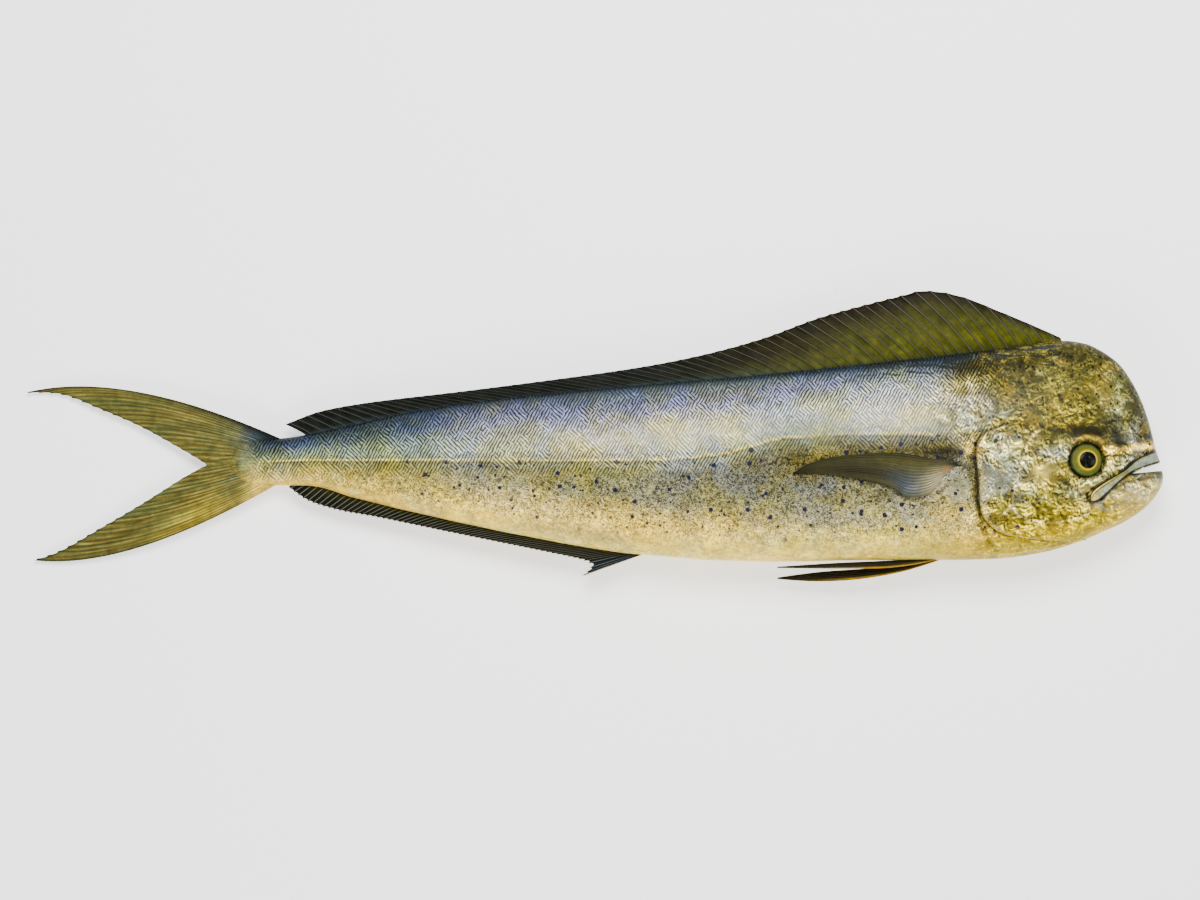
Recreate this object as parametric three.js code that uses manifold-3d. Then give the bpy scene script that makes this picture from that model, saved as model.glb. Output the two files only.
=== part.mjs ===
// A whole raw dolphinfish (mahi-mahi) lying on its left flank, in millimetres.
// +X points to the snout, +Y to the back and +Z up, away from the surface that the fish lies on.
// Every outline below is drawn for a fish 900 mm long and scales with totalLength.
import * as THREE from "three";
import { mergeVertices } from "three/addons/utils/BufferGeometryUtils.js";
import Module from "manifold-3d";

const wasm = await Module();
wasm.setup();

// Driving dimensions
const totalLength = 900; // snout to the line between the tips of the tail
const drawnLength = 900;
const mm = totalLength / drawnLength;
const seatGap = 0.3 * mm; // clearance between a piece and the socket that it sits in
const socketOpening = 12; // how far a socket in the flank is cut out past the skin
const rootDepth = 3 * mm; // how deep a fin's root sits in the body
const finRootThickness = 2.4 * mm;
const finEdgeThickness = 1.1 * mm;
const gillCoverThickness = 3 * mm;
const gillCoverLift = 2 * mm; // the free rear edge stands this far proud of the shoulder
const upperJawThickness = 2.6 * mm;
const upperJawLift = 1.2 * mm;
const eyeRadius = 14 * mm;
const eyeDepth = 9 * mm; // half the depth of the flattened eyeball
const eyeSink = 6 * mm; // centre of the eyeball below the skin
const eyePlace = [389.5, -19.2]; // x and y of the eye's middle
const snoutX = 451;
const bodyEndX = -281; // where the flesh ends and the tail fin's rays begin

// Mesh density
const bodyRings = 66;
const bodySides = 40;
const finRaySteps = 5;

// ---- Lines ----

// A smooth line y(x) through points given in rising x, with no overshoot between them.
function lineThrough(points) {
  const last = points.length - 1;
  const slope = (i) => (points[i + 1][1] - points[i][1]) / (points[i + 1][0] - points[i][0]);
  const tangents = points.map((_, i) => {
    if (i === 0) return slope(0);
    if (i === last) return slope(last - 1);
    const [before, after] = [slope(i - 1), slope(i)];
    return before * after <= 0 ? 0 : (2 * before * after) / (before + after);
  });
  return (x) => {
    let i = 0;
    while (i < last - 1 && x > points[i + 1][0]) i += 1;
    const span = points[i + 1][0] - points[i][0];
    const t = THREE.MathUtils.clamp((x - points[i][0]) / span, 0, 1);
    const [t2, t3] = [t * t, t * t * t];
    return (
      (2 * t3 - 3 * t2 + 1) * points[i][1] +
      (t3 - 2 * t2 + t) * span * tangents[i] +
      (3 * t2 - 2 * t3) * points[i + 1][1] +
      (t3 - t2) * span * tangents[i + 1]
    );
  };
}

// A smooth 2-D curve through points, read by its share of the length from 0 to 1.
function curveThrough(points) {
  const curve = new THREE.SplineCurve(points.map(([x, y]) => new THREE.Vector2(x, y)));
  return (share) => curve.getPointAt(THREE.MathUtils.clamp(share, 0, 1));
}

// ---- The body's surface, as lines along its length ----

const backLine = lineThrough([
  [-281, -3.6], [-244, -1.6], [-224, 1.7], [-185, 9.9], [-142, 19.4], [-57, 31], [37, 40], [122, 47.3],
  [212, 56.5], [321, 68.7], [354, 73.6], [374, 75.3], [390, 72.9], [402, 67.4], [411.5, 61], [418, 55],
  [426, 43.6], [433.5, 29], [439, 14], [442.5, 1], [445.3, -11], [448.1, -20.6], [450, -27.5], [451, -34],
]);
const bellyLine = lineThrough([
  [-281, -37], [-262, -38.8], [-227, -39.3], [-185, -49.9], [-142, -60.2], [-57, -78.4], [28, -92.8],
  [65, -96], [95, -98.2], [146, -99.4], [206, -98.4], [290, -98], [322, -96.8], [356, -91.8], [379, -85.6],
  [402, -76.5], [421.5, -67.3], [438, -55.9], [447, -44.8], [450.3, -38], [451, -34],
]);
// Where each section is widest
const widestLine = lineThrough([
  [-281, -20.4], [-100, -21], [100, -20], [250, -22], [330, -29], [400, -33], [451, -34],
]);
// Half of the fish's thickness from flank to flank
const halfThickness = lineThrough([
  [-281, 5.2], [-262, 8], [-244, 10.2], [-200, 14.5], [-150, 19.5], [-100, 24], [-50, 28], [0, 31.5],
  [50, 34.5], [100, 37], [150, 39], [200, 40], [280, 40.5], [320, 40], [350, 38], [380, 34], [400, 29.5],
  [420, 23], [430, 18.8], [438, 14.5], [445, 10], [449, 6], [451, 2.4],
]);
// Height of the fish's middle plane above the surface: the relaxed tail droops
const midHeight = lineThrough([
  [-281, 13], [-250, 14.5], [-200, 18], [-150, 22.5], [-100, 26.3], [-50, 29.4], [0, 31.8], [50, 33.6],
  [100, 35], [150, 36], [200, 36.6], [280, 36.8], [451, 36.4],
]);
// How full a section is towards the back and the belly: 2 is an ellipse and less is a keel
const backFullness = lineThrough([[-281, 2.2], [-100, 2], [200, 1.95], [340, 1.8], [420, 1.7], [451, 1.9]]);
const bellyFullness = 2.15;

// Half of the thickness at a place on the flank
function flankHalf(x, y) {
  const middle = widestLine(x);
  const above = y > middle;
  const reach = above ? backLine(x) - middle : middle - bellyLine(x);
  const fullness = above ? backFullness(x) : bellyFullness;
  const off = Math.min(Math.abs(y - middle) / reach, 1);
  return halfThickness(x) * Math.pow(1 - Math.pow(off, fullness), 1 / fullness);
}

// Height of the skin at a place, on the upper flank for side 1 and the lower for side -1.
// Where the fish lies on the surface the skin is pressed flat.
function skinHeight(x, y, side, lift = 0) {
  return Math.max(midHeight(x) + side * (flankHalf(x, y) + lift), 0);
}

// ---- Solids ----

// A solid made from a three.js geometry, turned to face outwards.
function solidOf(geometry) {
  const bare = geometry.clone();
  bare.deleteAttribute("normal");
  bare.deleteAttribute("uv");
  const merged = mergeVertices(bare, 1e-4);
  const triangles = new Uint32Array(merged.index.array);
  const make = () =>
    new wasm.Manifold(
      new wasm.Mesh({ numProp: 3, vertProperties: merged.attributes.position.array, triVerts: triangles }),
    );
  const made = make();
  if (made.volume() > 0) return made;
  for (let i = 0; i < triangles.length; i += 3) {
    [triangles[i + 1], triangles[i + 2]] = [triangles[i + 2], triangles[i + 1]];
  }
  return make();
}

function geometryOf(solid) {
  const mesh = solid.getMesh();
  const geometry = new THREE.BufferGeometry();
  geometry.setAttribute("position", new THREE.BufferAttribute(new Float32Array(mesh.vertProperties), 3));
  geometry.setIndex(new THREE.BufferAttribute(mesh.triVerts, 1));
  geometry.computeVertexNormals();
  return geometry;
}

// Moves every vertex of a geometry to the place that shape gives for it.
function reshape(geometry, shape) {
  const position = geometry.getAttribute("position");
  const vertex = new THREE.Vector3();
  for (let i = 0; i < position.count; i += 1) {
    vertex.fromBufferAttribute(position, i);
    const moved = shape(vertex).multiplyScalar(mm);
    position.setXYZ(i, moved.x, moved.y, moved.z);
  }
  return geometry;
}

// A curved plate over u and v from 0 to 1. place(u, v) gives the middle of its thickness.
// grow widens it all round, which makes the cutter for its own socket, and a plate with
// openSide gets a socket that is open to that flank.
function plate({ place, thickness, uSteps, vSteps, openSide = 0 }, grow = 0) {
  const box = new THREE.BoxGeometry(1, 1, 1, uSteps, vSteps, 1);
  return solidOf(
    reshape(box, (corner) => {
      const [u, v] = [corner.x + 0.5, corner.y + 0.5];
      const at = place(u, v);
      const [uInner, vInner] = [nextInwards(u, uSteps), nextInwards(v, vSteps)];
      if (grow && uInner !== u) at.add(place(u, v).sub(place(uInner, v)).setLength(grow / mm));
      if (grow && vInner !== v) at.add(place(u, v).sub(place(u, vInner)).setLength(grow / mm));
      at.z += (corner.z * (thickness(u, v) + 2 * grow)) / mm;
      if (grow && corner.z * openSide > 0) at.z += openSide * socketOpening;
      return at;
    }),
  );
}

// From a border at 0 or 1 this is the next line of the mesh inwards, and anywhere else the same line.
function nextInwards(share, steps) {
  if (share < 1e-6) return 1 / steps;
  return share > 1 - 1e-6 ? 1 - 1 / steps : share;
}

// ---- Body ----

// The sphere's poles become the snout and the end of the flesh, and its rings the sections between.
function bodySolid() {
  const sphere = new THREE.SphereGeometry(1, bodySides, bodyRings);
  return solidOf(
    reshape(sphere, ({ x, y, z }) => {
      const along = Math.acos(THREE.MathUtils.clamp(y, -1, 1)) / Math.PI;
      const eased = 0.78 * (0.5 - 0.5 * Math.cos(Math.PI * along)) + 0.22 * along;
      const stationX = THREE.MathUtils.lerp(snoutX, bodyEndX, eased);
      const atPole = along < 1e-3 || along > 1 - 1e-3;
      const angle = atPole ? 0 : Math.atan2(z, x);
      const middle = widestLine(stationX);
      const up = Math.cos(angle) > 0;
      const reach = up ? backLine(stationX) - middle : middle - bellyLine(stationX);
      const fullness = up ? backFullness(stationX) : bellyFullness;
      const across = (share) => Math.sign(share) * Math.pow(Math.abs(share), 2 / fullness);
      const scale = atPole ? 0 : 1;
      const height = midHeight(stationX) + scale * halfThickness(stationX) * across(Math.sin(angle));
      return new THREE.Vector3(
        stationX,
        middle + scale * reach * across(Math.cos(angle)),
        Math.max(height, 0),
      );
    }),
  );
}

// The gap between the jaws, open to both sides and narrowing to the corner of the mouth
const mouthShape = new THREE.Shape()
  .moveTo(456, -19)
  .lineTo(445, -23.5)
  .quadraticCurveTo(432, -27, 424, -30.5)
  .quadraticCurveTo(432, -29.2, 445, -28)
  .lineTo(456, -27.6);

function mouthCutter() {
  const cutter = new THREE.ExtrudeGeometry(mouthShape, { depth: 60, bevelEnabled: false, curveSegments: 4 });
  return solidOf(reshape(cutter, ({ x, y, z }) => new THREE.Vector3(x, y, z + 8)));
}

// ---- Eyes ----

// side 1 is the right eye, on top, and -1 the left, beneath.
function eyeFrame(side) {
  const [x, y] = eyePlace;
  const step = 4;
  const run = (dx, dy) => skinHeight(x + dx, y + dy, side) - skinHeight(x - dx, y - dy, side);
  const outwards = new THREE.Vector3(-run(step, 0) / (2 * step), -run(0, step) / (2 * step), 1);
  outwards.multiplyScalar(side).normalize();
  const centre = new THREE.Vector3(x, y, skinHeight(x, y, side)).multiplyScalar(mm);
  return { outwards, centre: centre.addScaledVector(outwards, -eyeSink) };
}

function eyeSolid(side, grow = 0) {
  const { outwards, centre } = eyeFrame(side);
  const ball = new THREE.SphereGeometry(1, 24, 14);
  ball.scale(eyeRadius + grow, eyeDepth + grow, eyeRadius + grow);
  ball.applyQuaternion(new THREE.Quaternion().setFromUnitVectors(new THREE.Vector3(0, 1, 0), outwards));
  ball.translate(centre.x, centre.y, centre.z);
  return solidOf(ball);
}

// ---- Gill covers and upper jaw plates ----

// Front and rear borders of the gill cover, as x at each y
const gillFront = lineThrough([
  [-81, 384.3], [-77.8, 376.3], [-71.5, 366], [-62, 356.5], [-50, 350.2], [-34, 346.2], [-18, 347], [-2.6, 349.4],
  [7.7, 349.4],
]);
const gillRear = lineThrough([
  [-81, 354.2], [-77.8, 326], [-71.5, 313.8], [-62, 306.6], [-50, 304.2], [-34, 303.5], [-18, 301.9], [-2.6, 305],
  [7.7, 322.5],
]);

function gillCover(side) {
  return {
    uSteps: 9,
    vSteps: 14,
    openSide: side,
    thickness: () => gillCoverThickness,
    place(u, v) {
      const y = THREE.MathUtils.lerp(-81, 7.7, v);
      const x = THREE.MathUtils.lerp(gillFront(y), gillRear(y), u);
      const lift = (gillCoverLift / mm) * THREE.MathUtils.smoothstep(u, 0, 0.8);
      const outer = skinHeight(x, y, side, lift);
      return new THREE.Vector3(x, y, outer - (side * gillCoverThickness) / mm / 2);
    },
  };
}

// The plate of the upper jaw, from the tip of the snout back to its rounded end below the eye
const jawSpine = curveThrough([[445, -16], [434, -20.6], [422, -27.6], [410, -36], [401, -43.4], [394.5, -49]]);
const jawHalfWidth = lineThrough([[0, 3.2], [0.2, 4], [0.6, 4.2], [0.85, 5.2], [0.95, 4.6], [1, 2.6]]);

function upperJaw(side) {
  return {
    uSteps: 12,
    vSteps: 4,
    openSide: side,
    thickness: () => upperJawThickness,
    place(u, v) {
      const middle = jawSpine(u);
      const along = jawSpine(u + 0.02).sub(jawSpine(u - 0.02)).normalize();
      const across = new THREE.Vector2(-along.y, along.x).multiplyScalar((2 * v - 1) * jawHalfWidth(u));
      const [x, y] = [middle.x - across.x, middle.y - across.y];
      const outer = skinHeight(x, y, side, upperJawLift / mm);
      return new THREE.Vector3(x, y, outer - (side * upperJawThickness) / mm / 2);
    },
  };
}

// ---- Fins ----

const finThickness = (share) => THREE.MathUtils.lerp(finRootThickness, finEdgeThickness, share);

// A fin that stands on the back or the belly: each ray runs from its root to the margin.
// base gives x of the root, margin the point of the outer edge, and sag how far that edge droops.
function edgeFin({ base, margin, bodyEdge, inwards, sag, uSteps }) {
  return {
    uSteps,
    vSteps: finRaySteps,
    thickness: (_, v) => finThickness(v),
    place(u, v) {
      const rootX = base(u);
      const tip = margin(u);
      const root = new THREE.Vector2(rootX, bodyEdge(rootX) + (inwards * rootDepth) / mm);
      const at = root.clone().lerp(tip, v);
      return new THREE.Vector3(at.x, at.y, midHeight(at.x) - sag(u) * v * v);
    },
  };
}

const dorsalMargin = curveThrough([
  [-241.5, 10.2], [-216, 19.5], [-184, 25.6], [-105, 35.2], [-42, 43.2], [37, 54.4], [85, 64.8], [132, 78],
  [180, 95.2], [212, 103], [243, 110.8], [262, 115], [272, 114], [291, 110.6], [322, 99], [354, 86.2], [374, 77],
]);
const dorsalBase = lineThrough([[0, -224], [0.12, -141], [0.3, -9], [0.5, 117], [0.7, 245], [0.82, 318], [0.9, 352], [1, 371]]);

const dorsalFin = edgeFin({
  base: dorsalBase,
  margin: dorsalMargin,
  bodyEdge: backLine,
  inwards: -1,
  sag: lineThrough([[0, 0], [0.4, 1], [0.7, 8], [0.85, 9], [1, 0]]),
  uSteps: 46,
});

const analMargin = curveThrough([
  [-9.2, -111.4], [-2, -105], [-1.5, -101], [-10.5, -97.5], [-42, -90.8], [-105, -78], [-168, -65],
  [-200, -59.2], [-225, -51.5], [-241.5, -40],
]);
const analBase = lineThrough([[0, 46], [0.04, 41], [0.1, 30], [0.3, -30], [0.6, -118], [0.85, -190], [1, -231]]);

const analFin = edgeFin({
  base: analBase,
  margin: analMargin,
  bodyEdge: bellyLine,
  inwards: 1,
  sag: lineThrough([[0, 6], [0.15, 3], [0.5, 1], [1, 0]]),
  uSteps: 40,
});

// Tail fin: rays fan out from the end of the flesh and stop at the forked trailing edge.
const tailRoot = curveThrough([[-264, -43.5], [-275, -36], [-277, -20.4], [-275, -5], [-264, 1.2]]);
const tailTrail = curveThrough([
  [-443, -98.4], [-422, -91.5], [-391, -74], [-359, -55.5], [-327, -34.4], [-309, -24.5], [-305.5, -23],
  [-310, -20], [-327, -10], [-359, 7.5], [-391, 21.2], [-422, 33], [-450, 36.2],
]);
const tailBulge = lineThrough([[0, -28], [0.15, -15], [0.35, -3], [0.5, 0], [0.65, 4], [0.85, 18], [1, 33]]);

const tailFin = {
  uSteps: 36,
  vSteps: 10,
  thickness: (_, v) => finThickness(v),
  place(u, v) {
    const root = tailRoot(u);
    const tip = tailTrail(u);
    const bend = root.clone().lerp(tip, 0.62).add(new THREE.Vector2(0, tailBulge(u)));
    const ray = new THREE.QuadraticBezierCurve(root, bend, tip).getPoint(v);
    const droop = THREE.MathUtils.smoothstep(-ray.x, 264, 460);
    return new THREE.Vector3(ray.x, ray.y, THREE.MathUtils.lerp(midHeight(ray.x), 3.5, droop));
  },
};

// A blade between a lower and an upper edge, both running from the root to the tip.
// height gives the middle of its thickness.
function bladeFin({ lower, upper, height, uSteps, vSteps }) {
  return {
    uSteps,
    vSteps,
    thickness: (u) => finThickness(u),
    place(u, v) {
      const at = lower(u).lerp(upper(u), v);
      return new THREE.Vector3(at.x, at.y, height(at.x, at.y, u));
    },
  };
}

const pectoralUpper = curveThrough([
  [292, -22.5], [277, -18.8], [258, -16], [241, -13.8], [217, -13.5], [199, -15.3], [181, -18.6], [168, -23.4],
  [157.5, -29.4],
]);
const pectoralLower = curveThrough([
  [279, -39], [266, -45], [252, -47.6], [240, -42.5], [229, -36.5], [205, -31.4], [187, -30], [169, -29.6],
  [157.2, -30.4],
]);

// The pectoral fins lie back along the flanks, rooted just behind the gill covers.
function pectoralFin(side) {
  return bladeFin({
    lower: pectoralLower,
    upper: pectoralUpper,
    height(x, y, u) {
      const lift = THREE.MathUtils.lerp(-rootDepth / mm, 2.4, THREE.MathUtils.smoothstep(u, 0, 0.16));
      const half = finThickness(u) / mm / 2;
      const outer = midHeight(x) + side * (flankHalf(x, y) + lift + half);
      return side > 0 ? outer : Math.max(outer, half);
    },
    uSteps: 18,
    vSteps: 5,
  });
}

const pelvicEdges = {
  right: {
    upper: curveThrough([[279, -94], [262, -96.8], [229, -98.6], [190, -100.4], [146.5, -103.2]]),
    lower: curveThrough([[276, -97], [255, -101.5], [229, -104.2], [190, -104.4], [146.5, -104.2]]),
  },
  left: {
    upper: curveThrough([[279, -95], [255, -101], [220, -104.6], [180, -107.6], [147, -112]]),
    lower: curveThrough([[276, -98], [245, -107.5], [210, -113.6], [176, -115.2], [147, -113.2]]),
  },
};

// The pelvic fins trail below the belly, the left one sinking towards the surface.
function pelvicFin(name, rootOffset, tipHeight) {
  return bladeFin({
    ...pelvicEdges[name],
    height: (x, _, u) => THREE.MathUtils.lerp(midHeight(x) + rootOffset, tipHeight, u ** 1.3),
    uSteps: 14,
    vSteps: 3,
  });
}

// ---- Materials ----

const finish = (color, roughness, metalness) => new THREE.MeshStandardMaterial({ color, roughness, metalness });
const finishes = {
  skin: finish(0xb9b48c, 0.38, 0.25),
  gillCover: finish(0xb8a552, 0.35, 0.3),
  jaw: finish(0x9fa07c, 0.35, 0.2),
  eye: finish(0x8a8f3c, 0.08, 0),
  oliveFin: finish(0x6c6a24, 0.45, 0.1),
  darkFin: finish(0x35382e, 0.45, 0.1),
  tail: finish(0x85783c, 0.45, 0.1),
};

// ---- Assembly ----

const sides = { right: 1, left: -1 };
const plates = [
  ["dorsal_fin", dorsalFin, finishes.oliveFin],
  ["anal_fin", analFin, finishes.darkFin],
  ["tail_fin", tailFin, finishes.tail],
  ["pelvic_fin_right", pelvicFin("right", 4.5, 41), finishes.darkFin],
  ["pelvic_fin_left", pelvicFin("left", -4.5, 16), finishes.darkFin],
];
for (const [name, side] of Object.entries(sides)) {
  plates.push([`pectoral_fin_${name}`, pectoralFin(side), finishes.oliveFin]);
  plates.push([`gill_cover_${name}`, gillCover(side), finishes.gillCover]);
  plates.push([`upper_jaw_${name}`, upperJaw(side), finishes.jaw]);
}

const fish = new THREE.Group();
function add(name, solid, material) {
  const mesh = new THREE.Mesh(geometryOf(solid), material);
  mesh.name = name;
  fish.add(mesh);
}

let body = bodySolid().subtract(mouthCutter());
for (const [, shape] of plates) body = body.subtract(plate(shape, seatGap));
for (const side of Object.values(sides)) body = body.subtract(eyeSolid(side, seatGap));
add("body", body, finishes.skin);
for (const [name, shape, material] of plates) add(name, plate(shape), material);
for (const [name, side] of Object.entries(sides)) add(`eye_${name}`, eyeSolid(side), finishes.eye);

// The origin is the middle of the space that the fish takes up, at the surface that it lies on.
const space = new THREE.Box3().setFromObject(fish);
const middle = space.getCenter(new THREE.Vector3());
fish.position.set(-middle.x, -middle.y, -space.min.z);

export default fish;
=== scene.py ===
import math
import bmesh
import bpy
import numpy as np
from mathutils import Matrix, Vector


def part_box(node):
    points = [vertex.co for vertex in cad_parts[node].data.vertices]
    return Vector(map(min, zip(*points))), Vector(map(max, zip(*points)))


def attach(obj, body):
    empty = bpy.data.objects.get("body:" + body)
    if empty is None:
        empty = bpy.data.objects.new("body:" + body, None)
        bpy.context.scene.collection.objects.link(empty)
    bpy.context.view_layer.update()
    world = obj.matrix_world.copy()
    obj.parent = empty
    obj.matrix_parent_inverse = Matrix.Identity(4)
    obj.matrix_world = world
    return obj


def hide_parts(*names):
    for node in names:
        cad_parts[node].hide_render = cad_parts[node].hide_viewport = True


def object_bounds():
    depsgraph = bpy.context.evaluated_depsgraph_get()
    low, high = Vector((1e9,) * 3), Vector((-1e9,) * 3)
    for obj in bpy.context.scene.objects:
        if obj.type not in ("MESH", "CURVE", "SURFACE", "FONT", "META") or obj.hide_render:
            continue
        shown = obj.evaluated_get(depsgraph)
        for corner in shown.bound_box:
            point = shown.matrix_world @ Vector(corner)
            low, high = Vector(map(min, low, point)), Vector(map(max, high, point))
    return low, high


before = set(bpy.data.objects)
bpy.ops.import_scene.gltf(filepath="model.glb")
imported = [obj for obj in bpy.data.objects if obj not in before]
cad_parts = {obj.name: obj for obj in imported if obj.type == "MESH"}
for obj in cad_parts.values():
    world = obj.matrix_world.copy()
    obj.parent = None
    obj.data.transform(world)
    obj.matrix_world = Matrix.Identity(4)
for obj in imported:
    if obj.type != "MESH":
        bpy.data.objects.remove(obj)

cadLow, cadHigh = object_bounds()
drawn = {"length": 901, "snout": 451, "back": 75.3}  # the fish in its drawing's units, scaled to the frame
unit = (cadHigh.x - cadLow.x) / drawn["length"]
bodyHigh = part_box("body")[1]
shiftX = bodyHigh.x / unit - drawn["snout"]
shiftY = bodyHigh.y / unit - drawn["back"]
print("frame loaded, unit", round(unit, 7))


def smoothLine(points):  # y at each x through points in rising x, smooth and with no overshoot
    xs, ys = np.array(points, float).T
    run = np.diff(xs)
    slope = np.diff(ys) / run
    before, after = slope[:-1], slope[1:]
    agree = before * after > 0
    inner = np.where(agree, 2 * before * after / np.where(agree, before + after, 1), 0)
    tangent = np.concatenate([slope[:1], inner, slope[-1:]])

    def at(x):
        x = np.clip(x, xs[0], xs[-1])
        i = np.clip(np.searchsorted(xs, x) - 1, 0, len(run) - 1)
        h = run[i]
        t = (x - xs[i]) / h
        start = (2 * t**3 - 3 * t**2 + 1) * ys[i] + (t**3 - 2 * t**2 + t) * h * tangent[i]
        return start + (3 * t**2 - 2 * t**3) * ys[i + 1] + (t**3 - t**2) * h * tangent[i + 1]

    return at


def byLength(points):  # a line through points, read by its share of the length from 0 to 1
    length = np.concatenate([[0], np.cumsum(np.hypot(*np.diff(points, axis=0).T))])
    length /= length[-1]
    return lambda share: (np.interp(share, length, points[:, 0]), np.interp(share, length, points[:, 1]))


def smoothPath(points):  # the same for a smooth curve
    p = np.array(points, float)
    q = np.vstack([p[:1], p, p[-1:]])
    t = np.linspace(0, 1, 24, endpoint=False)[:, None]
    runs = []
    for a, b, c, d in zip(q, q[1:], q[2:], q[3:]):
        leave, arrive = (c - a) / 2, (d - b) / 2
        cubic = (2 * b - 2 * c + leave + arrive) * t**3
        runs.append(cubic + (3 * c - 3 * b - 2 * leave - arrive) * t**2 + leave * t + b)
    return byLength(np.vstack(runs + [p[-1:]]))


def rise(low, high, x):  # 0 below low, 1 above high and smooth between
    t = np.clip((x - low) / (high - low), 0, 1)
    return t * t * (3 - 2 * t)


def hump(x, width):
    return np.exp(-((x / width) ** 2))


def spot(x, y, spotX, spotY, wide, tall):
    return np.exp(-((x - spotX) / wide) ** 2 - ((y - spotY) / tall) ** 2)


def mix(a, b, share):
    return a + (b - a) * share


form = {  # lines along the fish, from the end of the trunk to the snout
    "back": smoothLine([
        (-303, -14), (-298, -8.5), (-284, -4), (-244, -1.6), (-224, 1.7), (-185, 9.9), (-142, 19.4),
        (-57, 31), (37, 40), (122, 47.3), (212, 56.5), (321, 68.7), (354, 73.6), (374, 75.3), (390, 72.9),
        (402, 67.4), (411.5, 61), (418, 55), (426, 43.6), (433.5, 29), (439, 14), (442.5, 1), (445.3, -11),
        (448.1, -20.6), (450, -27.5), (451, -34),
    ]),
    "belly": smoothLine([
        (-303, -27), (-298, -32), (-284, -36), (-262, -38.8), (-227, -39.3), (-185, -49.9), (-142, -60.2),
        (-57, -78.4), (28, -92.8), (65, -96), (95, -98.2), (146, -99.4), (206, -98.4), (290, -98),
        (322, -96.8), (356, -91.8), (379, -85.6), (402, -76.5), (421.5, -67.3), (438, -55.9), (447, -44.8),
        (450.3, -38), (451, -34),
    ]),
    "widest": smoothLine([
        (-303, -20.4), (-100, -21), (100, -20), (250, -22), (330, -29), (400, -33), (451, -34),
    ]),
    "half": smoothLine([
        (-303, 0.05), (-296, 0.3), (-289, 0.9), (-282, 1.9), (-275, 3.4), (-262, 6.9), (-244, 10.2),
        (-200, 14.5), (-150, 19.5), (-100, 24), (-50, 28), (0, 31.5), (50, 34.5), (100, 37), (150, 39),
        (200, 40), (280, 40.5), (320, 40), (350, 38), (380, 34), (400, 29.5), (420, 23), (430, 18.8),
        (438, 14.5), (445, 10), (449, 6), (451, 2.4),
    ]),
    "mid": smoothLine([
        (-303, 11.6), (-284, 13), (-250, 14.5), (-200, 18), (-150, 22.5), (-100, 26.3), (-50, 29.4),
        (0, 31.8), (50, 33.6), (100, 35), (150, 36), (200, 36.6), (280, 36.8), (451, 36.4),
    ]),
    "backFull": smoothLine([(-284, 2.2), (-100, 2), (200, 1.95), (340, 1.8), (420, 1.7), (451, 1.9)]),
    "bellyFull": 2.15,
}


def flankHalf(x, y):
    middle = form["widest"](x)
    above = y > middle
    reach = np.where(above, form["back"](x) - middle, middle - form["belly"](x))
    full = np.where(above, form["backFull"](x), form["bellyFull"])
    off = np.clip(np.abs(y - middle) / np.maximum(reach, 1e-3), 0, 1)
    return form["half"](x) * np.clip(1 - off**full, 0, 1) ** (1 / full)


def middleHeight(x):  # the tail sags to the surface that the fish lies on
    return mix(form["mid"](x), 3.5, rise(264, 460, -x))


def onFlank(x, y, side, lift=0.0):
    return form["mid"](x) + side * (flankHalf(x, y) + lift)


gill = {  # front and rear border of the gill cover, as x at each y
    "front": smoothLine([
        (-81, 384.3), (-77.8, 376.3), (-71.5, 366), (-62, 356.5), (-50, 350.2), (-34, 346.2), (-18, 347),
        (-2.6, 349.4), (7.7, 349.4),
    ]),
    "rear": smoothLine([
        (-83, 362), (-81, 346), (-79.5, 334), (-77.8, 325), (-71.5, 313.8), (-62, 306.6), (-50, 304.2),
        (-34, 303.5), (-18, 301.9), (-9, 302.2), (-2.6, 304.6), (3, 310), (7.7, 322.5),
    ]),
    "low": -81,
    "high": 7.7,
}

paths = {  # the lines that can be seen on the skin
    "lateral": smoothLine([
        (-284, -21), (-216, -19), (-36, -19), (60, -18), (97, -14.7), (127, -7.5), (147, -1.8), (180, 0.6),
        (240, 2), (290, 2.5), (322, 9), (345, 14),
    ]),
    "shoulder": smoothPath([(296, -8), (297.5, -28), (299.5, -42), (303.5, -59), (310.6, -79), (318, -90.7)]),
    "preopercle": smoothPath([(351, 5), (342.5, -6), (337.5, -23.4), (332, -39.6), (330.4, -53.5)]),
    "forkRear": smoothPath([(330.4, -53.5), (325, -60), (319.3, -64.6)]),
    "forkFront": smoothPath([
        (330.4, -53.5), (335.1, -62.6), (346.2, -66.9), (362, -68.5), (379.5, -65.4), (392, -60),
    ]),
    "foreheadRim": smoothPath([
        (340, 72), (374, 75.3), (402, 67.4), (418, 55), (433.5, 29), (442.5, 1), (448.1, -20.6),
    ]),
    "lowerLip": smoothPath([
        (397.8, -52), (404.7, -46.4), (417.5, -38.6), (425.5, -36.2), (437, -33.8), (449, -32),
    ]),
    "brow": smoothPath([(400, -8), (405.7, -5.5), (413, -4.8), (420, -6)]),
    "snoutBar": smoothPath([(403, -9), (411, -12), (419, -11), (430, -8.6), (443, -8.4)]),
    "barShade": smoothPath([(400, -17), (410, -15.5), (420, -14.6), (432, -12), (446, -10.8)]),
    "jawTop": smoothPath([
        (447, -11.2), (438.6, -13.6), (431, -17), (424, -22.3), (416.6, -28.2), (409, -32.5), (401, -37),
        (392.8, -42.6), (389.6, -46.6), (390.6, -51), (395, -53.6), (400, -51.4), (405.7, -44.8),
        (411.6, -38.1), (418.3, -33.1), (426, -29.2),
    ]),
    "mouth": smoothPath([
        (450, -28.6), (437, -29.6), (425.5, -30.4), (418.5, -33.5), (411.5, -39), (405.5, -45.5), (400, -51),
    ]),
    "axil": smoothPath([(272, -17.4), (281, -19), (288, -21), (292.5, -25)]),
    "crease": smoothPath([(-292, -5.5), (-285, -10.5), (-282.5, -18.5), (-280, -30)]),
}

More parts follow.
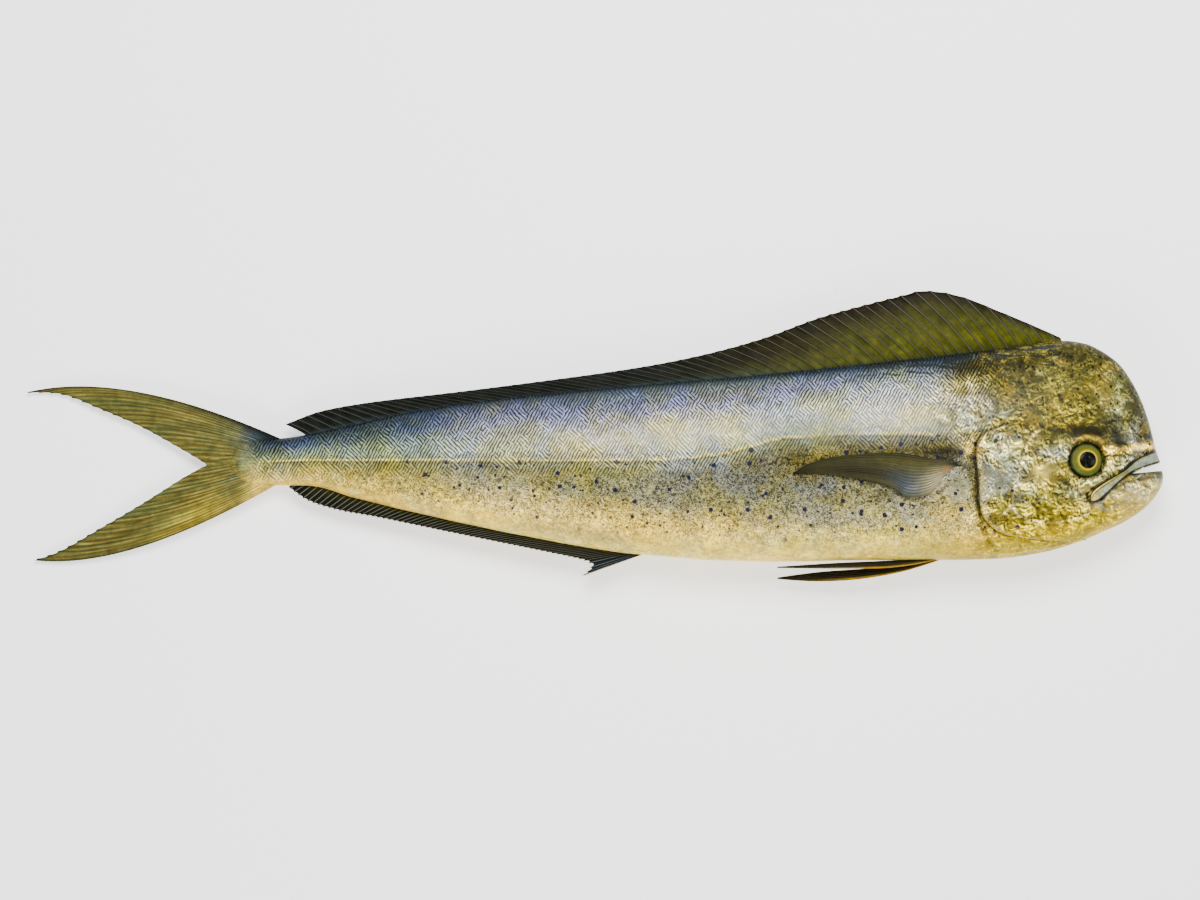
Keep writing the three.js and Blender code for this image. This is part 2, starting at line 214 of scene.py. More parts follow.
eyeSpot = {"x": 389.5, "y": -19.2, "radius": 14.0, "depth": 9.0}
nostril = {"x": 419.1, "y": -12.3, "stretch": 1.3}


def eyeDistance(x, y):
    return np.hypot(x - eyeSpot["x"], y - eyeSpot["y"])


def nostrilDistance(x, y):
    return np.hypot((x - nostril["x"]) / nostril["stretch"], y - nostril["y"])


def distanceFrom(name, x, y, samples=90):  # from each place to one of the paths
    px, py = paths[name](np.linspace(0, 1, samples))
    best = np.full(x.shape, 1e9)
    for ax, ay, bx, by in zip(px, py, px[1:], py[1:]):
        dx, dy = bx - ax, by - ay
        t = np.clip(((x - ax) * dx + (y - ay) * dy) / (dx * dx + dy * dy), 0, 1)
        best = np.minimum(best, np.hypot(x - ax - t * dx, y - ay - t * dy))
    return best


studioLight = 2.0  # what a pale surface that faces up sends back
lightOf = smoothLine([  # stops of light behind each screen value
    (0, -9), (8, -7.8), (20, -6.5), (43, -5), (66, -4), (98, -3), (136, -2), (170, -1), (197, 0), (218, 1),
    (233, 2),
])


def colour(red, green, blue):  # screen values from 0 to 255, as the dye that shows them in the studio's light
    wanted = np.array([red, green, blue], float)
    wanted *= 1 - 0.14 * (wanted / 255) ** 3
    dye = 2 ** lightOf(wanted) / studioLight
    dye += 0.14 * (dye - dye.mean())
    return np.clip(dye, 0.003, 0.9)


dyes = {name: colour(*shown) for name, shown in {
    "night": (32, 44, 58), "slate": (82, 98, 116), "lilac": (146, 148, 164), "silver": (188, 192, 188),
    "pearl": (208, 205, 186), "sage": (160, 172, 150), "olive": (112, 102, 46), "moss": (166, 162, 126),
    "ash": (140, 140, 120), "sand": (190, 184, 146), "gold": (212, 198, 128), "straw": (240, 222, 148),
    "cream": (252, 232, 164), "amber": (206, 190, 46), "bronze": (92, 87, 40), "umber": (64, 60, 24),
    "brass": (156, 148, 64), "mist": (170, 172, 146), "blush": (216, 206, 168), "reed": (146, 136, 70),
    "fern": (160, 156, 92), "flesh": (196, 150, 130), "ink": (24, 22, 12),
}.items()}


def dyed(tint, *layers):  # lays dyes over a tint in turn, each by a share at each place; the skin's own colours and painted light and shade alike
    def read(dye):  # a name, three screen values or a tint that is ready
        if isinstance(dye, str):
            return dyes[dye]
        return colour(*dye) if isinstance(dye, tuple) else dye

    tint = read(tint)
    for dye, share in layers:
        tint = mix(tint, read(dye), share[:, None])
    return tint


bands = [  # stations along the fish, each with its dyes from the belly (0) to the back (1)
    (-282, (0, "straw"), (0.25, "sand"), (0.5, "sage"), (0.8, "slate"), (1, "night")),
    (-216, (0, "straw"), (0.2, "gold"), (0.42, "fern"), (0.6, "sage"), (0.8, "slate"), (1, "night")),
    (-150, (0, "straw"), (0.2, "gold"), (0.46, "fern"), (0.6, "sage"), (0.82, "slate"), (1, "night")),
    (-74, (0, "cream"), (0.12, "straw"), (0.35, "sand"), (0.48, "ash"), (0.62, "silver"), (0.84, "lilac"),
     (1, "night")),
    (5, (0, "cream"), (0.08, "gold"), (0.14, "straw"), (0.34, "moss"), (0.5, "fern"), (0.66, "pearl"),
     (0.84, "lilac"), (0.95, "slate"), (1, "night")),
    (85, (0, "cream"), (0.13, "straw"), (0.3, "moss"), (0.48, "ash"), (0.6, "silver"), (0.74, "pearl"),
     (0.88, "lilac"), (0.97, "slate"), (1, "night")),
    (164, (0, "straw"), (0.08, "cream"), (0.2, "sand"), (0.38, "ash"), (0.54, "olive"), (0.62, "sage"),
     (0.72, "mist"), (0.8, "silver"), (0.9, "lilac"), (0.97, "slate"), (1, "night")),
    (243, (0, "amber"), (0.08, "cream"), (0.2, "sand"), (0.4, "ash"), (0.55, "olive"), (0.64, "silver"),
     (0.75, "pearl"), (0.88, "silver"), (0.96, "slate"), (1, "night")),
    (295, (0, "amber"), (0.14, "straw"), (0.3, "sand"), (0.45, "ash"), (0.56, "sand"), (0.66, "mist"),
     (0.78, "sand"), (0.92, "umber"), (1, "night")),
    (325, (0, "amber"), (0.12, "amber"), (0.24, "brass"), (0.4, "mist"), (0.55, "mist"), (0.68, "brass"),
     (0.85, "bronze"), (0.97, "umber"), (1, "night")),
    (360, (0, "amber"), (0.12, "amber"), (0.26, "brass"), (0.44, "brass"), (0.6, "bronze"), (0.78, "brass"),
     (0.93, "bronze"), (1, "umber")),
    (400, (0, "amber"), (0.12, "amber"), (0.26, "mist"), (0.42, "brass"), (0.55, "bronze"), (0.72, "brass"),
     (0.93, "bronze"), (1, "umber")),
    (432, (0, "amber"), (0.14, "blush"), (0.36, "mist"), (0.55, "ash"), (0.75, "bronze"), (1, "umber")),
    (451, (0, "blush"), (0.4, "mist"), (0.6, "ash"), (1, "bronze")),
]

softPatches = [  # dye, strength, x, y, width and height
    ("umber", 0.95, 391, 2, 27, 9), ("ink", 0.8, 393, 2.5, 22, 5), ("umber", 0.6, 372, -2, 14, 7),
    ("bronze", 0.8, 376, -12, 5, 12), ("brass", 0.7, 366, -24, 8, 12), ("cream", 0.85, 355, -31, 9, 8),
    ("cream", 0.6, 330, -8, 13, 4), ("silver", 0.6, 318, -12, 11, 7), ("silver", 0.6, 362, -14, 10, 5),
    ("bronze", 0.7, 369, -47, 9, 8), ("brass", 0.75, 350, -62, 28, 9), ("brass", 0.85, 322, -60, 14, 11),
    ("umber", 0.6, 307, -16, 4, 11), ("umber", 0.95, 277, -12, 18, 6), ("ink", 0.85, 276, -12.5, 14, 4),
    ("straw", 0.75, 299, -11, 6, 8), ("lilac", 0.5, 292, 26, 20, 9), ("sage", 0.5, 414, 30, 8, 16),
    ("gold", 0.25, 404, 34, 6, 12), ("gold", 0.6, 286, -71, 24, 8), ("amber", 0.5, 262, -85, 26, 6),
    # the umber patch at 233, -46 is a painted shadow under the lower edge of the pectoral fin
    ("gold", 0.5, 180, -84, 36, 6), ("gold", 0.5, 70, -76, 30, 7), ("umber", 0.45, 233, -46, 22, 5),
    ("blush", 0.6, 268, -36, 12, 9), ("straw", 0.6, 402, -42, 7, 4), ("ash", 0.4, 430, 4, 8, 13),
    ("blush", 0.6, 434, -46, 12, 8), ("slate", 0.5, -269, -8, 8, 6), ("umber", 0.6, -248, -12, 4, 5),
    ("blush", 0.6, -268, -27, 6, 5), ("umber", 0.35, -260, -27, 2, 5),
]


def bandTint(x, h):
    stations = np.array([band[0] for band in bands], float)
    rows = np.empty((len(bands), len(x), 3))
    for row, (_, *stops) in enumerate(bands):
        for c in range(3):
            rows[row, :, c] = np.interp(h, [at for at, _ in stops], [dyes[name][c] for _, name in stops])
    i = np.clip(np.searchsorted(stations, x) - 1, 0, len(bands) - 2)
    share = rise(0, 1, (x - stations[i]) / (stations[i + 1] - stations[i]))[:, None]
    each = np.arange(len(x))
    return mix(rows[i, each], rows[i + 1, each], share)


def skinTint(x, y):  # the skin's colour at each place, before its fine pattern
    low, high = form["belly"](x), form["back"](x)
    tint = bandTint(x, np.clip((y - low) / np.maximum(high - low, 1e-3), 0, 1))

    def over(name, strength):
        nonlocal tint
        tint = mix(tint, dyes[name], np.clip(strength, 0, 1)[:, None])

    def trace(name, strength, line, width):
        over(name, strength * hump(distanceFrom(line, x, y), width))

    # the lateral line, the back and the forehead
    fromLateral = y - paths["lateral"](x)
    onTrunk = rise(-282, -240, x) * rise(300, 280, x)
    over("olive", 0.75 * hump(fromLateral + 9, 9) * rise(90, 150, x) * rise(308, 290, x))
    over("umber", 0.35 * hump(fromLateral + 5, 4) * rise(150, 200, x) * rise(306, 290, x))
    # painted shadow just under the raised lateral line
    over("umber", 0.5 * hump(fromLateral + 1.3, 0.9) * onTrunk)
    over("cream", (0.7 - 0.4 * rise(120, 200, x)) * hump(fromLateral, 0.7) * onTrunk)
    over("night", 0.85 * rise(7, 1.5, high - y) * rise(410, 360, x))
    rim = distanceFrom("foreheadRim", x, y)
    over("umber", 0.75 * rise(16, 3, rim) * rise(345, 375, x))
    over("ink", 0.6 * rise(5, 0, rim) * rise(345, 375, x))
    over("bronze", 0.88 * rise(294, 325, x) * rise(-4, 10, y) * rise(460, 436, x))
    over("brass", 0.5 * rise(335, 375, x) * rise(2, 16, y) * rise(60, 30, y) * rise(425, 400, x))
    for name, strength, *place in softPatches:
        over(name, strength * spot(x, y, *place))

    # the snout and the rim of the eye, the root of the pectoral fin and the end of the trunk
    trace("straw", 0.9, "snoutBar", 2.6)
    trace("umber", 0.8, "barShade", 1.1)
    eyeAway = eyeDistance(x, y)
    # a painted highlight on the upper side of the raised rim round the eye
    over("straw", 0.5 * hump(eyeAway - 18.5, 1.2) * rise(-34, -20, y) * rise(376, 392, x))
    over("ink", 0.9 * rise(16.2, 14.8, eyeAway))
    # painted shade in the crease above the root of the pectoral fin
    trace("ink", 0.85, "axil", 1.5)
    over("reed", 0.95 * rise(-264, -284, x))
    over("slate", 0.55 * hump(x + 272, 9) * rise(-26, -8, y))
    over("sage", 0.6 * hump(x + 277, 6) * hump(y + 19, 10))
    # painted shade along a crease at the end of the trunk
    trace("night", 0.6, "crease", 1.0)

    # painted shade in the skin's hollows and gaps: the nostril, the brow and lower lip grooves, the gap above
    # the upper jaw, the mouth, the shadow under the gill cover's free border and the shoulder groove
    over("ink", hump(nostrilDistance(x, y), 1.5))
    trace("ink", 0.7, "brow", 1.4)
    trace("umber", 0.75, "lowerLip", 1.1)
    over("ink", 0.95 * rise(2.0, 0.9, distanceFrom("jawTop", x, y, 140)))
    trace("ink", 0.9, "mouth", 1.4)
    # the painted shadow under the gill cover's free rear border is darkest along its middle
    depth = 0.25 + 0.73 * rise(-70, -56, y) * rise(4, -8, y)
    over("ink", depth * hump(gill["rear"](y) - x - 1.1, 2.0) * alongSlit(y))
    trace("umber", 0.8, "shoulder", 1.6)
    return tint


def alongSlit(y):  # 1 where the gill cover has a free rear border
    return rise(-88, -82, y) * rise(11, 7, y)


def cheekLines(x, y):  # lines on the gill cover and the cheek, as height and as painted shadow beside it
    ridge, shade = np.zeros(x.shape), np.zeros(x.shape)
    for name, wide, behind, above, dark in (
        ("preopercle", 1.0, 1.9, 0, 1.1), ("forkRear", 0.9, 1.6, 0, 1.0), ("forkFront", 0.9, 0, 1.8, 1.0),
    ):
        ridge = np.maximum(ridge, hump(distanceFrom(name, x, y), wide))
        shade = np.maximum(shade, hump(distanceFrom(name, x + behind, y - above), dark))
    return ridge, shade


def throatRays(x, y):  # fine ridges of the membrane under the throat
    low = form["belly"](x)
    across = np.clip((y - low) / np.maximum(gill["low"] + 2 - low, 1), 0, 1)
    return np.cos(across * 4.5 * math.tau) * rise(300, 316, x) * rise(398, 380, x) * rise(1, 0.85, across)


def skinRelief(x, y):  # height of the skin's own relief above the smooth form
    eyeAway = eyeDistance(x, y)
    relief = 1.0 * hump(eyeAway - 17.2, 2.2) - 6.5 * rise(15.0, 12.2, eyeAway)
    relief -= 1.6 * hump(nostrilDistance(x, y), 1.6)
    relief += 0.5 * hump(np.hypot(x - nostril["x"], y - nostril["y"]) - 3, 1.2)
    behind = gill["rear"](y) - x
    relief -= 2.4 * rise(2.6, 0.4, behind) * rise(-26, -8, behind) * alongSlit(y)
    relief -= 0.9 * hump(distanceFrom("shoulder", x, y), 1.7)
    relief += 0.7 * hump(distanceFrom("shoulder", x + 4, y), 3)
    fromLateral = y - paths["lateral"](x)
    relief += (0.45 * hump(fromLateral, 1.0) - 0.25 * hump(fromLateral - 2.2, 1.2)) * rise(330, 300, x)
    relief -= 0.7 * hump(distanceFrom("brow", x, y), 1.5)
    relief -= 1.0 * hump(distanceFrom("lowerLip", x, y), 1.5)
    relief += 0.7 * hump(distanceFrom("lowerLip", x, y - 3.2), 2.0)
    relief -= 1.0 * hump(distanceFrom("jawTop", x, y, 140), 1.5)
    relief += 0.35 * throatRays(x, y)
    swell = np.sin(x * 0.11 + np.abs(y + 20) * 0.16) * rise(330, 280, x) * rise(-282, -240, x)
    return relief + 0.16 * swell


palePatches = [  # x, y, width, height and strength
    (315, -32, 14, 14, 1.0), (343, -46, 12, 6, 0.6), (288, -42, 10, 13, 0.9), (364, -14, 11, 4, 0.6),
    (410, -56, 16, 4, 0.7), (428, -46, 14, 8, 0.8), (300, 14, 26, 9, 0.6), (255, -66, 20, 7, 0.5),
]


def skinMarks(x, y):  # how much of each pattern the skin has at each place
    low, high = form["belly"](x), form["back"](x)
    h = (y - low) / np.maximum(high - low, 1e-3)
    spots = rise(-215, -120, x) * rise(385, 330, x) * rise(0.06, 0.16, h)
    spots *= rise(10, -6, y - paths["lateral"](x))
    spots = np.maximum(spots, 0.25 * rise(60, 150, x) * rise(0.3, 0.4, h) * rise(0.8, 0.6, h))
    scales = rise(335, 300, x) * mix(0.75, 1.0, rise(0.3, 0.8, h)) * rise(0.02, 0.2, h) * rise(-280, -258, x)
    scales *= 1 - 0.5 * hump(h - 0.69, 0.08) * rise(-100, 60, x)
    speckles = rise(230, 320, x) * rise(0.5, 0.68, h)
    speckles = np.maximum(speckles, 0.35 * rise(-20, 5, y) * rise(380, 400, x))
    shoulder = 34 * hump(y - 24, 24)
    blotches = rise(285 - shoulder, 315 - shoulder, x) * rise(452, 436, x)
    blotches *= (1 - 0.3 * rise(0.6, 0.8, h)) * (1 - 0.75 * rise(0.16, 0.0, h))
    blotches *= 1 - 0.5 * spot(x, y, 425, -52, 22, 12)
    blotches *= 1 - 0.75 * spot(x, y, 391, 2, 27, 7)
    pale = np.zeros(len(x))
    for *place, strength in palePatches:
        pale = np.maximum(pale, strength * spot(x, y, *place))
    slit = hump(gill["rear"](y) - x - 1, 4) * rise(-88, -78, y) * rise(11, 5, y)
    blotches *= 1 - 0.9 * slit
    pale *= 1 - slit
    return np.stack([spots, scales, speckles, blotches], axis=1), pale


def metres(x, y, z):
    return np.stack([(x + shiftX) * unit, (y + shiftY) * unit, z * unit], axis=1)


def readVertices(mesh, what):
    flat = np.empty(len(mesh.vertices) * 3, np.float32)
    mesh.vertices.foreach_get(what, flat)
    return flat.reshape(-1, 3).astype(float)


def writePlaces(mesh, places):
    mesh.vertices.foreach_set("co", places.astype(np.float32).ravel())
    mesh.update()


def addLayer(mesh, name, values):
    layer = mesh.attributes.new(name=name, type="FLOAT", domain="POINT")
    layer.data.foreach_set("value", values.astype(np.float32))


def readLayer(mesh, name):
    flat = np.empty(len(mesh.vertices), np.float32)
    mesh.attributes[name].data.foreach_get("value", flat)
    return flat.astype(float)


def addColours(mesh, name, values):
    layer = mesh.color_attributes.new(name=name, type="FLOAT_COLOR", domain="POINT")
    full = np.ones((len(mesh.vertices), 4), np.float32)
    full[:, : values.shape[1]] = values
    layer.data.foreach_set("color", full.ravel())


def paintSkin(mesh, side, extra):  # the layers that the skin's material reads
    places = readVertices(mesh, "co") / unit
    x, y = places[:, 0] - shiftX, places[:, 1] - shiftY
    addColours(mesh, "tint", extra(skinTint(x, y), x, y))
    marks, pale = skinMarks(x, y)
    addColours(mesh, "marks", marks)
    addLayer(mesh, "pale", pale)
    addLayer(mesh, "flank", np.zeros(len(x)) + side)
    addLayer(mesh, "curl", rise(-2, -22, y - paths["lateral"](x)) * rise(-290, -200, x))
    addLayer(mesh, "fan", np.arctan2(y + 20, np.maximum(-236 - x, 2)) * 18)
    addLayer(mesh, "fanShare", rise(-256, -280, x))
    addLayer(mesh, "streaks", rise(24, 8, form["back"](x) - y) * rise(150, 270, x) * rise(392, 362, x))


def newMesh(name, bm):
    mesh = bpy.data.meshes.new(name)
    bm.to_mesh(mesh)
    bm.free()
    return mesh


def finishMesh(mesh, name, material, nodes):
    for face in mesh.polygons:
        face.use_smooth = True
    mesh.materials.append(material)
    piece = bpy.data.objects.new(name, mesh)
    bpy.context.scene.collection.objects.link(piece)
    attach(piece, "root")
    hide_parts(*nodes)
    print(name, len(mesh.polygons), "faces")


# a closed sheet, with u and v from 0 to 1 across it and the face (1 or -1) that each vertex belongs to
def makeSheet(name, uSteps, vSteps):
    bm = bmesh.new()
    bmesh.ops.create_grid(bm, x_segments=uSteps, y_segments=vSteps, size=0.5)
    bmesh.ops.recalc_face_normals(bm, faces=bm.faces)
    bmesh.ops.solidify(bm, geom=bm.faces[:], thickness=0.1)
    bmesh.ops.recalc_face_normals(bm, faces=bm.faces)
    mesh = newMesh(name, bm)
    places = readVertices(mesh, "co")
    upper = places[:, 2] > places[:, 2].mean()
    return mesh, places[:, 0] + 0.5, places[:, 1] + 0.5, np.where(upper, 1.0, -1.0)


def shapeMesh(mesh, places):  # moves the vertices and turns every face outwards
    writePlaces(mesh, places)
    bm = bmesh.new()
    bm.from_mesh(mesh)
    bmesh.ops.recalc_face_normals(bm, faces=bm.faces)
    bm.to_mesh(mesh)
    bm.free()


grain = 1 / unit  # units to a metre


class Shader:
    def __init__(self, name):
        self.material = bpy.data.materials.new(name)
        self.material.use_nodes = True
        self.tree = self.material.node_tree
        self.surface = self.tree.nodes["Principled BSDF"]

    def add(self, kind, **settings):
        node = self.tree.nodes.new(kind)
        for key, value in settings.items():
            setattr(node, key, value)
        return node

    def feed(self, value, socket):
        if isinstance(value, (int, float)):
            socket.default_value = value
        elif isinstance(value, (tuple, np.ndarray)):
            socket.default_value = (*value[:3], 1.0) if len(socket.default_value) == 4 else value
        else:
            self.tree.links.new(value, socket)

    def fill(self, node, **values):  # by the names of the sockets
        for key, value in values.items():
            self.feed(value, node.inputs[key.replace("_", " ")])
        return node

    def settle(self, **values):
        self.fill(self.surface, **values)

    def maths(self, operation, a, b=0.0):
        node = self.add("ShaderNodeMath", operation=operation)
        self.feed(a, node.inputs[0])
        self.feed(b, node.inputs[1])
        return node.outputs[0]

    def plus(self, a, b):
        return self.maths("ADD", a, b)

    def less(self, a, b):
        return self.maths("SUBTRACT", a, b)

    def times(self, a, b):
        return self.maths("MULTIPLY", a, b)

    def gap(self, value):  # how far a value from 0 to 1 is from its middle
        return self.maths("ABSOLUTE", self.less(value, 0.5))

    def between(self, share, a, b):
        return self.plus(self.times(a, self.less(1.0, share)), self.times(b, share))

    def steps(self, value, low, high, to=(0.0, 1.0)):
        node = self.add("ShaderNodeMapRange", interpolation_type="SMOOTHSTEP")
        self.fill(node, Value=value, From_Min=low, From_Max=high, To_Min=to[0], To_Max=to[1])
        return node.outputs["Result"]

    def blend(self, share, a, b, blendType="MIX"):
        node = self.add("ShaderNodeMix", data_type="RGBA", blend_type=blendType)
        for value, place in ((share, 0), (a, 6), (b, 7)):
            self.feed(value, node.inputs[place])
        return node.outputs[2]

    def tone(self, tint, gains):  # another hue, by a gain for each channel
        return self.blend(1.0, tint, gains, "MULTIPLY")

    def shade(self, tint, factor):  # brighter or darker, with its hue kept
        node = self.add("ShaderNodeVectorMath", operation="SCALE")
        self.feed(tint, node.inputs[0])
        self.feed(factor, node.inputs["Scale"])
        return node.outputs[0]

    def lighten(self, tint, share, gain):
        return self.shade(tint, self.plus(1.0, self.times(share, gain)))

    def darken(self, tint, share, loss):
        return self.shade(tint, self.less(1.0, self.times(share, loss)))

    def power(self, value, strength):  # 2 to the power of value times strength
        return self.maths("POWER", 2.0, self.times(value, strength))

    def vary(self, tint, noise, strength):  # brighter and darker as a noise leaves its middle
        return self.shade(tint, self.power(self.less(noise, 0.5), strength))

    def layer(self, name, output="Fac"):
        return self.add("ShaderNodeAttribute", attribute_name=name).outputs[output]

    def split(self, value):
        node = self.add("ShaderNodeSeparateColor")
        self.feed(value, node.inputs[0])
        return node.outputs

    def vector(self, x, y=0.0):
        node = self.add("ShaderNodeCombineXYZ")
        self.feed(x, node.inputs[0])
        self.feed(y, node.inputs[1])
        return node.outputs[0]

    def place(self, scale=(1, 1, 1), turn=0.0, offset=None, shift=(0, 0, 0)):
        source = self.add("ShaderNodeTexCoord").outputs["Object"]
        if offset is not None:
            moved = self.add("ShaderNodeVectorMath", operation="ADD")
            self.feed(source, moved.inputs[0])
            self.feed(offset, moved.inputs[1])
            source = moved.outputs[0]
        mapping = self.add("ShaderNodeMapping")
        self.fill(mapping, Vector=source, Rotation=(0, 0, turn), Scale=scale, Location=shift)
        return mapping.outputs[0]

    def noise(self, where, scale, detail=2.0, rough=0.5, twist=0.0):
        node = self.add("ShaderNodeTexNoise")
        self.fill(node, Vector=where, Scale=scale, Detail=detail, Roughness=rough, Distortion=twist)
        return node.outputs["Fac"]

    def cells(self, where, scale, output="Distance"):
        node = self.add("ShaderNodeTexVoronoi", feature="F1", voronoi_dimensions="2D")
        self.fill(node, Vector=where, Scale=scale)
        return node.outputs[output]

    def bump(self, height, strength, distance):
        node = self.add("ShaderNodeBump")
        self.fill(node, Strength=strength, Distance=distance, Height=height)
        self.settle(Normal=node.outputs[0])


skin = {
    "warm": (1.1, 1.05, 0.68), "cool": (0.96, 0.99, 1.18),  # the hue wanders between them
    "scaleEdge": 0.82, "scaleGlint": 1.0,
    "crinkle": 7, "sheen": 26,  # size of the head's wrinkles and of its broad painted sheen
    # gains of the painted highlight and the painted shade on the bright and dark sides of each wrinkle, then
    # of thin painted glint lines
    "silver": 1.6, "deep": 0.7, "glintLine": 0.9,
    "yellow": (184, 164, 28), "pale": (186, 188, 172), "streak": (34, 40, 40),
    "relief": 0.7,
    "roughness": (0.3, 0.45),
}


def makeSkinMaterial():
    s = Shader("wetSkin")
    tint = s.layer("tint", "Color")
    spots, scales, speckles = s.split(s.layer("marks", "Color"))[:3]
    blotches, pale, curl = s.layer("marks", "Alpha"), s.layer("pale"), s.layer("curl")
    plain = s.place()
    moved = s.place(offset=s.vector(s.times(s.layer("flank"), 0.31)))  # each flank has a pattern of its own
    cloud = s.noise(moved, grain / 30, 4, 0.6, 0.6)
    tint = s.blend(s.steps(cloud, 0.4, 0.6), s.tone(tint, skin["cool"]), s.tone(tint, skin["warm"]))
    fine = s.noise(plain, grain / 3.4, 5, 0.72, 0.5)
    broad = s.noise(plain, grain / 13, 4, 0.65, 0.8)
    tint = s.vary(s.vary(tint, fine, 3.2), broad, 2.6)

    # fine scales: wavy lines that lean one way or the other from place to place, and curl towards the belly
    def lines(turn, period):
        wave = s.add("ShaderNodeTexWave", wave_type="BANDS", bands_direction="X", wave_profile="SIN")
        s.fill(wave, Vector=s.place(turn=turn), Scale=0.314 * grain / period)
        s.fill(wave, Distortion=4.0, Detail=2.5, Detail_Scale=1.1)
        return wave.outputs["Fac"]

    choose = s.steps(s.noise(plain, grain / 13, 3, 0.6), 0.5, 0.6)
    hatch = s.between(choose, lines(0.5, 2.3), lines(-0.8, 2.5))
    curls = s.steps(s.gap(s.noise(plain, grain / 3.1, 1, 0.5, 1.6)), 0.12, 0.01)
    weave = s.plus(s.between(curl, hatch, curls), s.times(s.less(fine, 0.5), 0.7))
    edge = s.times(s.steps(weave, 0.42, 0.2), scales)
    glint = s.times(s.steps(weave, 0.5, 0.85), scales)
    # the scale lines darker at their edges, with a painted glint on their bright crests
    tint = s.lighten(s.darken(tint, edge, skin["scaleEdge"]), glint, skin["scaleGlint"])

    # metallic wrinkles and blotches of the head, with painted light: each wrinkle painted bright on one side
    # as a highlight and dark on the other as shade, a broad painted sheen and thin painted glint lines
    def litSides(size, detail, twist, reach):  # one side of each wrinkle bright and the other dark, as painted highlight and painted shade
        here = s.noise(plain, grain / size, detail, 0.55, twist)
        aside = s.place(shift=(reach * 0.5 * unit, reach * unit, 0))
        return s.less(here, s.noise(aside, grain / size, detail, 0.55, twist))

    crinkle = s.times(litSides(skin["crinkle"], 3, 2.2, 1.6), s.steps(broad, 0.4, 0.6, (0.3, 1.4)))
    # a broad painted sheen, brighter and darker in wide swathes over the head's blotches
    tint = s.shade(tint, s.power(s.times(litSides(skin["sheen"], 3, 1.6, 6.0), blotches), 6.0))
    patch = s.noise(moved, grain / 15, 4, 0.6, 1.0)
    shown = s.times(s.steps(s.plus(patch, s.times(pale, 0.3)), 0.62, 0.65), s.steps(pale, 0.05, 0.25))
    yellow = s.times(s.steps(patch, 0.47, 0.38), blotches)
    tint = s.blend(s.times(yellow, 0.45), tint, colour(*skin["yellow"]))
    tint = s.blend(s.times(shown, 0.42), tint, colour(*skin["pale"]))
    calm = s.times(blotches, s.less(1.0, s.times(shown, 0.3)))
    # painted highlight on the bright side of each wrinkle and painted shade on its dark side
    tint = s.lighten(tint, s.times(s.steps(crinkle, 0.035, 0.1), calm), skin["silver"])
    tint = s.darken(tint, s.times(s.steps(crinkle, -0.02, -0.09), calm), skin["deep"])
    # thin painted glint lines
    glintLine = s.steps(s.gap(s.noise(plain, grain / 5, 2, 0.5, 1.8)), 0.035, 0.012)
    glintLine = s.times(glintLine, s.steps(broad, 0.42, 0.56))
    tint = s.lighten(tint, s.times(glintLine, calm), skin["glintLine"])
    tint = s.shade(tint, s.power(s.times(s.less(broad, 0.5), blotches), 3.0))

    # rays of the tail that start on the end of the trunk, and fine dark streaks behind the head
    bundle = s.noise(s.vector(s.layer("fan")), 1.6, 3, 0.6)
    tint = s.shade(tint, s.power(s.times(s.less(bundle, 0.5), s.layer("fanShare")), 6.0))
    streak = s.noise(s.place((0.8, 6, 1), 0.12), grain / 15, 4, 0.6, 0.4)
    streaks = s.times(s.steps(streak, 0.49, 0.55), s.times(s.layer("streaks"), 0.92))
    tint = s.blend(streaks, tint, colour(*skin["streak"]))

    # dark spots of the flank and specks of the head
    for size, most, chance, channel, wanted, strength, dye in (
        (15, 0.125, 0.3, 0, spots, 0.97, (24, 28, 66)),
        (10, 0.11, 0.45, 1, spots, 0.9, (28, 34, 48)),
        (6, 0.2, 0.3, 2, speckles, 0.92, (26, 24, 14)),
    ):
        away = s.plus(s.cells(moved, grain / size), s.times(s.less(fine, 0.5), 0.12))
        pick = s.split(s.cells(moved, grain / size, "Color"))[channel]
        inside = s.steps(s.less(away, s.steps(pick, chance, 1.0, (most * 0.4, most))), 0.03, -0.02)
        dots = s.times(inside, s.times(s.maths("GREATER_THAN", pick, chance), wanted))
        tint = s.blend(s.times(dots, strength), tint, colour(*dye))

    relief = s.plus(s.times(s.less(glint, edge), 0.5), s.times(crinkle, s.times(blotches, 1.6)))
    s.bump(s.plus(relief, s.times(fine, 0.9)), 0.55, skin["relief"] * unit)
    s.settle(Base_Color=tint, Metallic=0.1, Coat_Weight=0.05, Coat_Roughness=0.2, IOR=1.4)
    s.settle(Specular_IOR_Level=0.12, Roughness=s.steps(fine, 0.3, 0.7, skin["roughness"]))
    return s.material


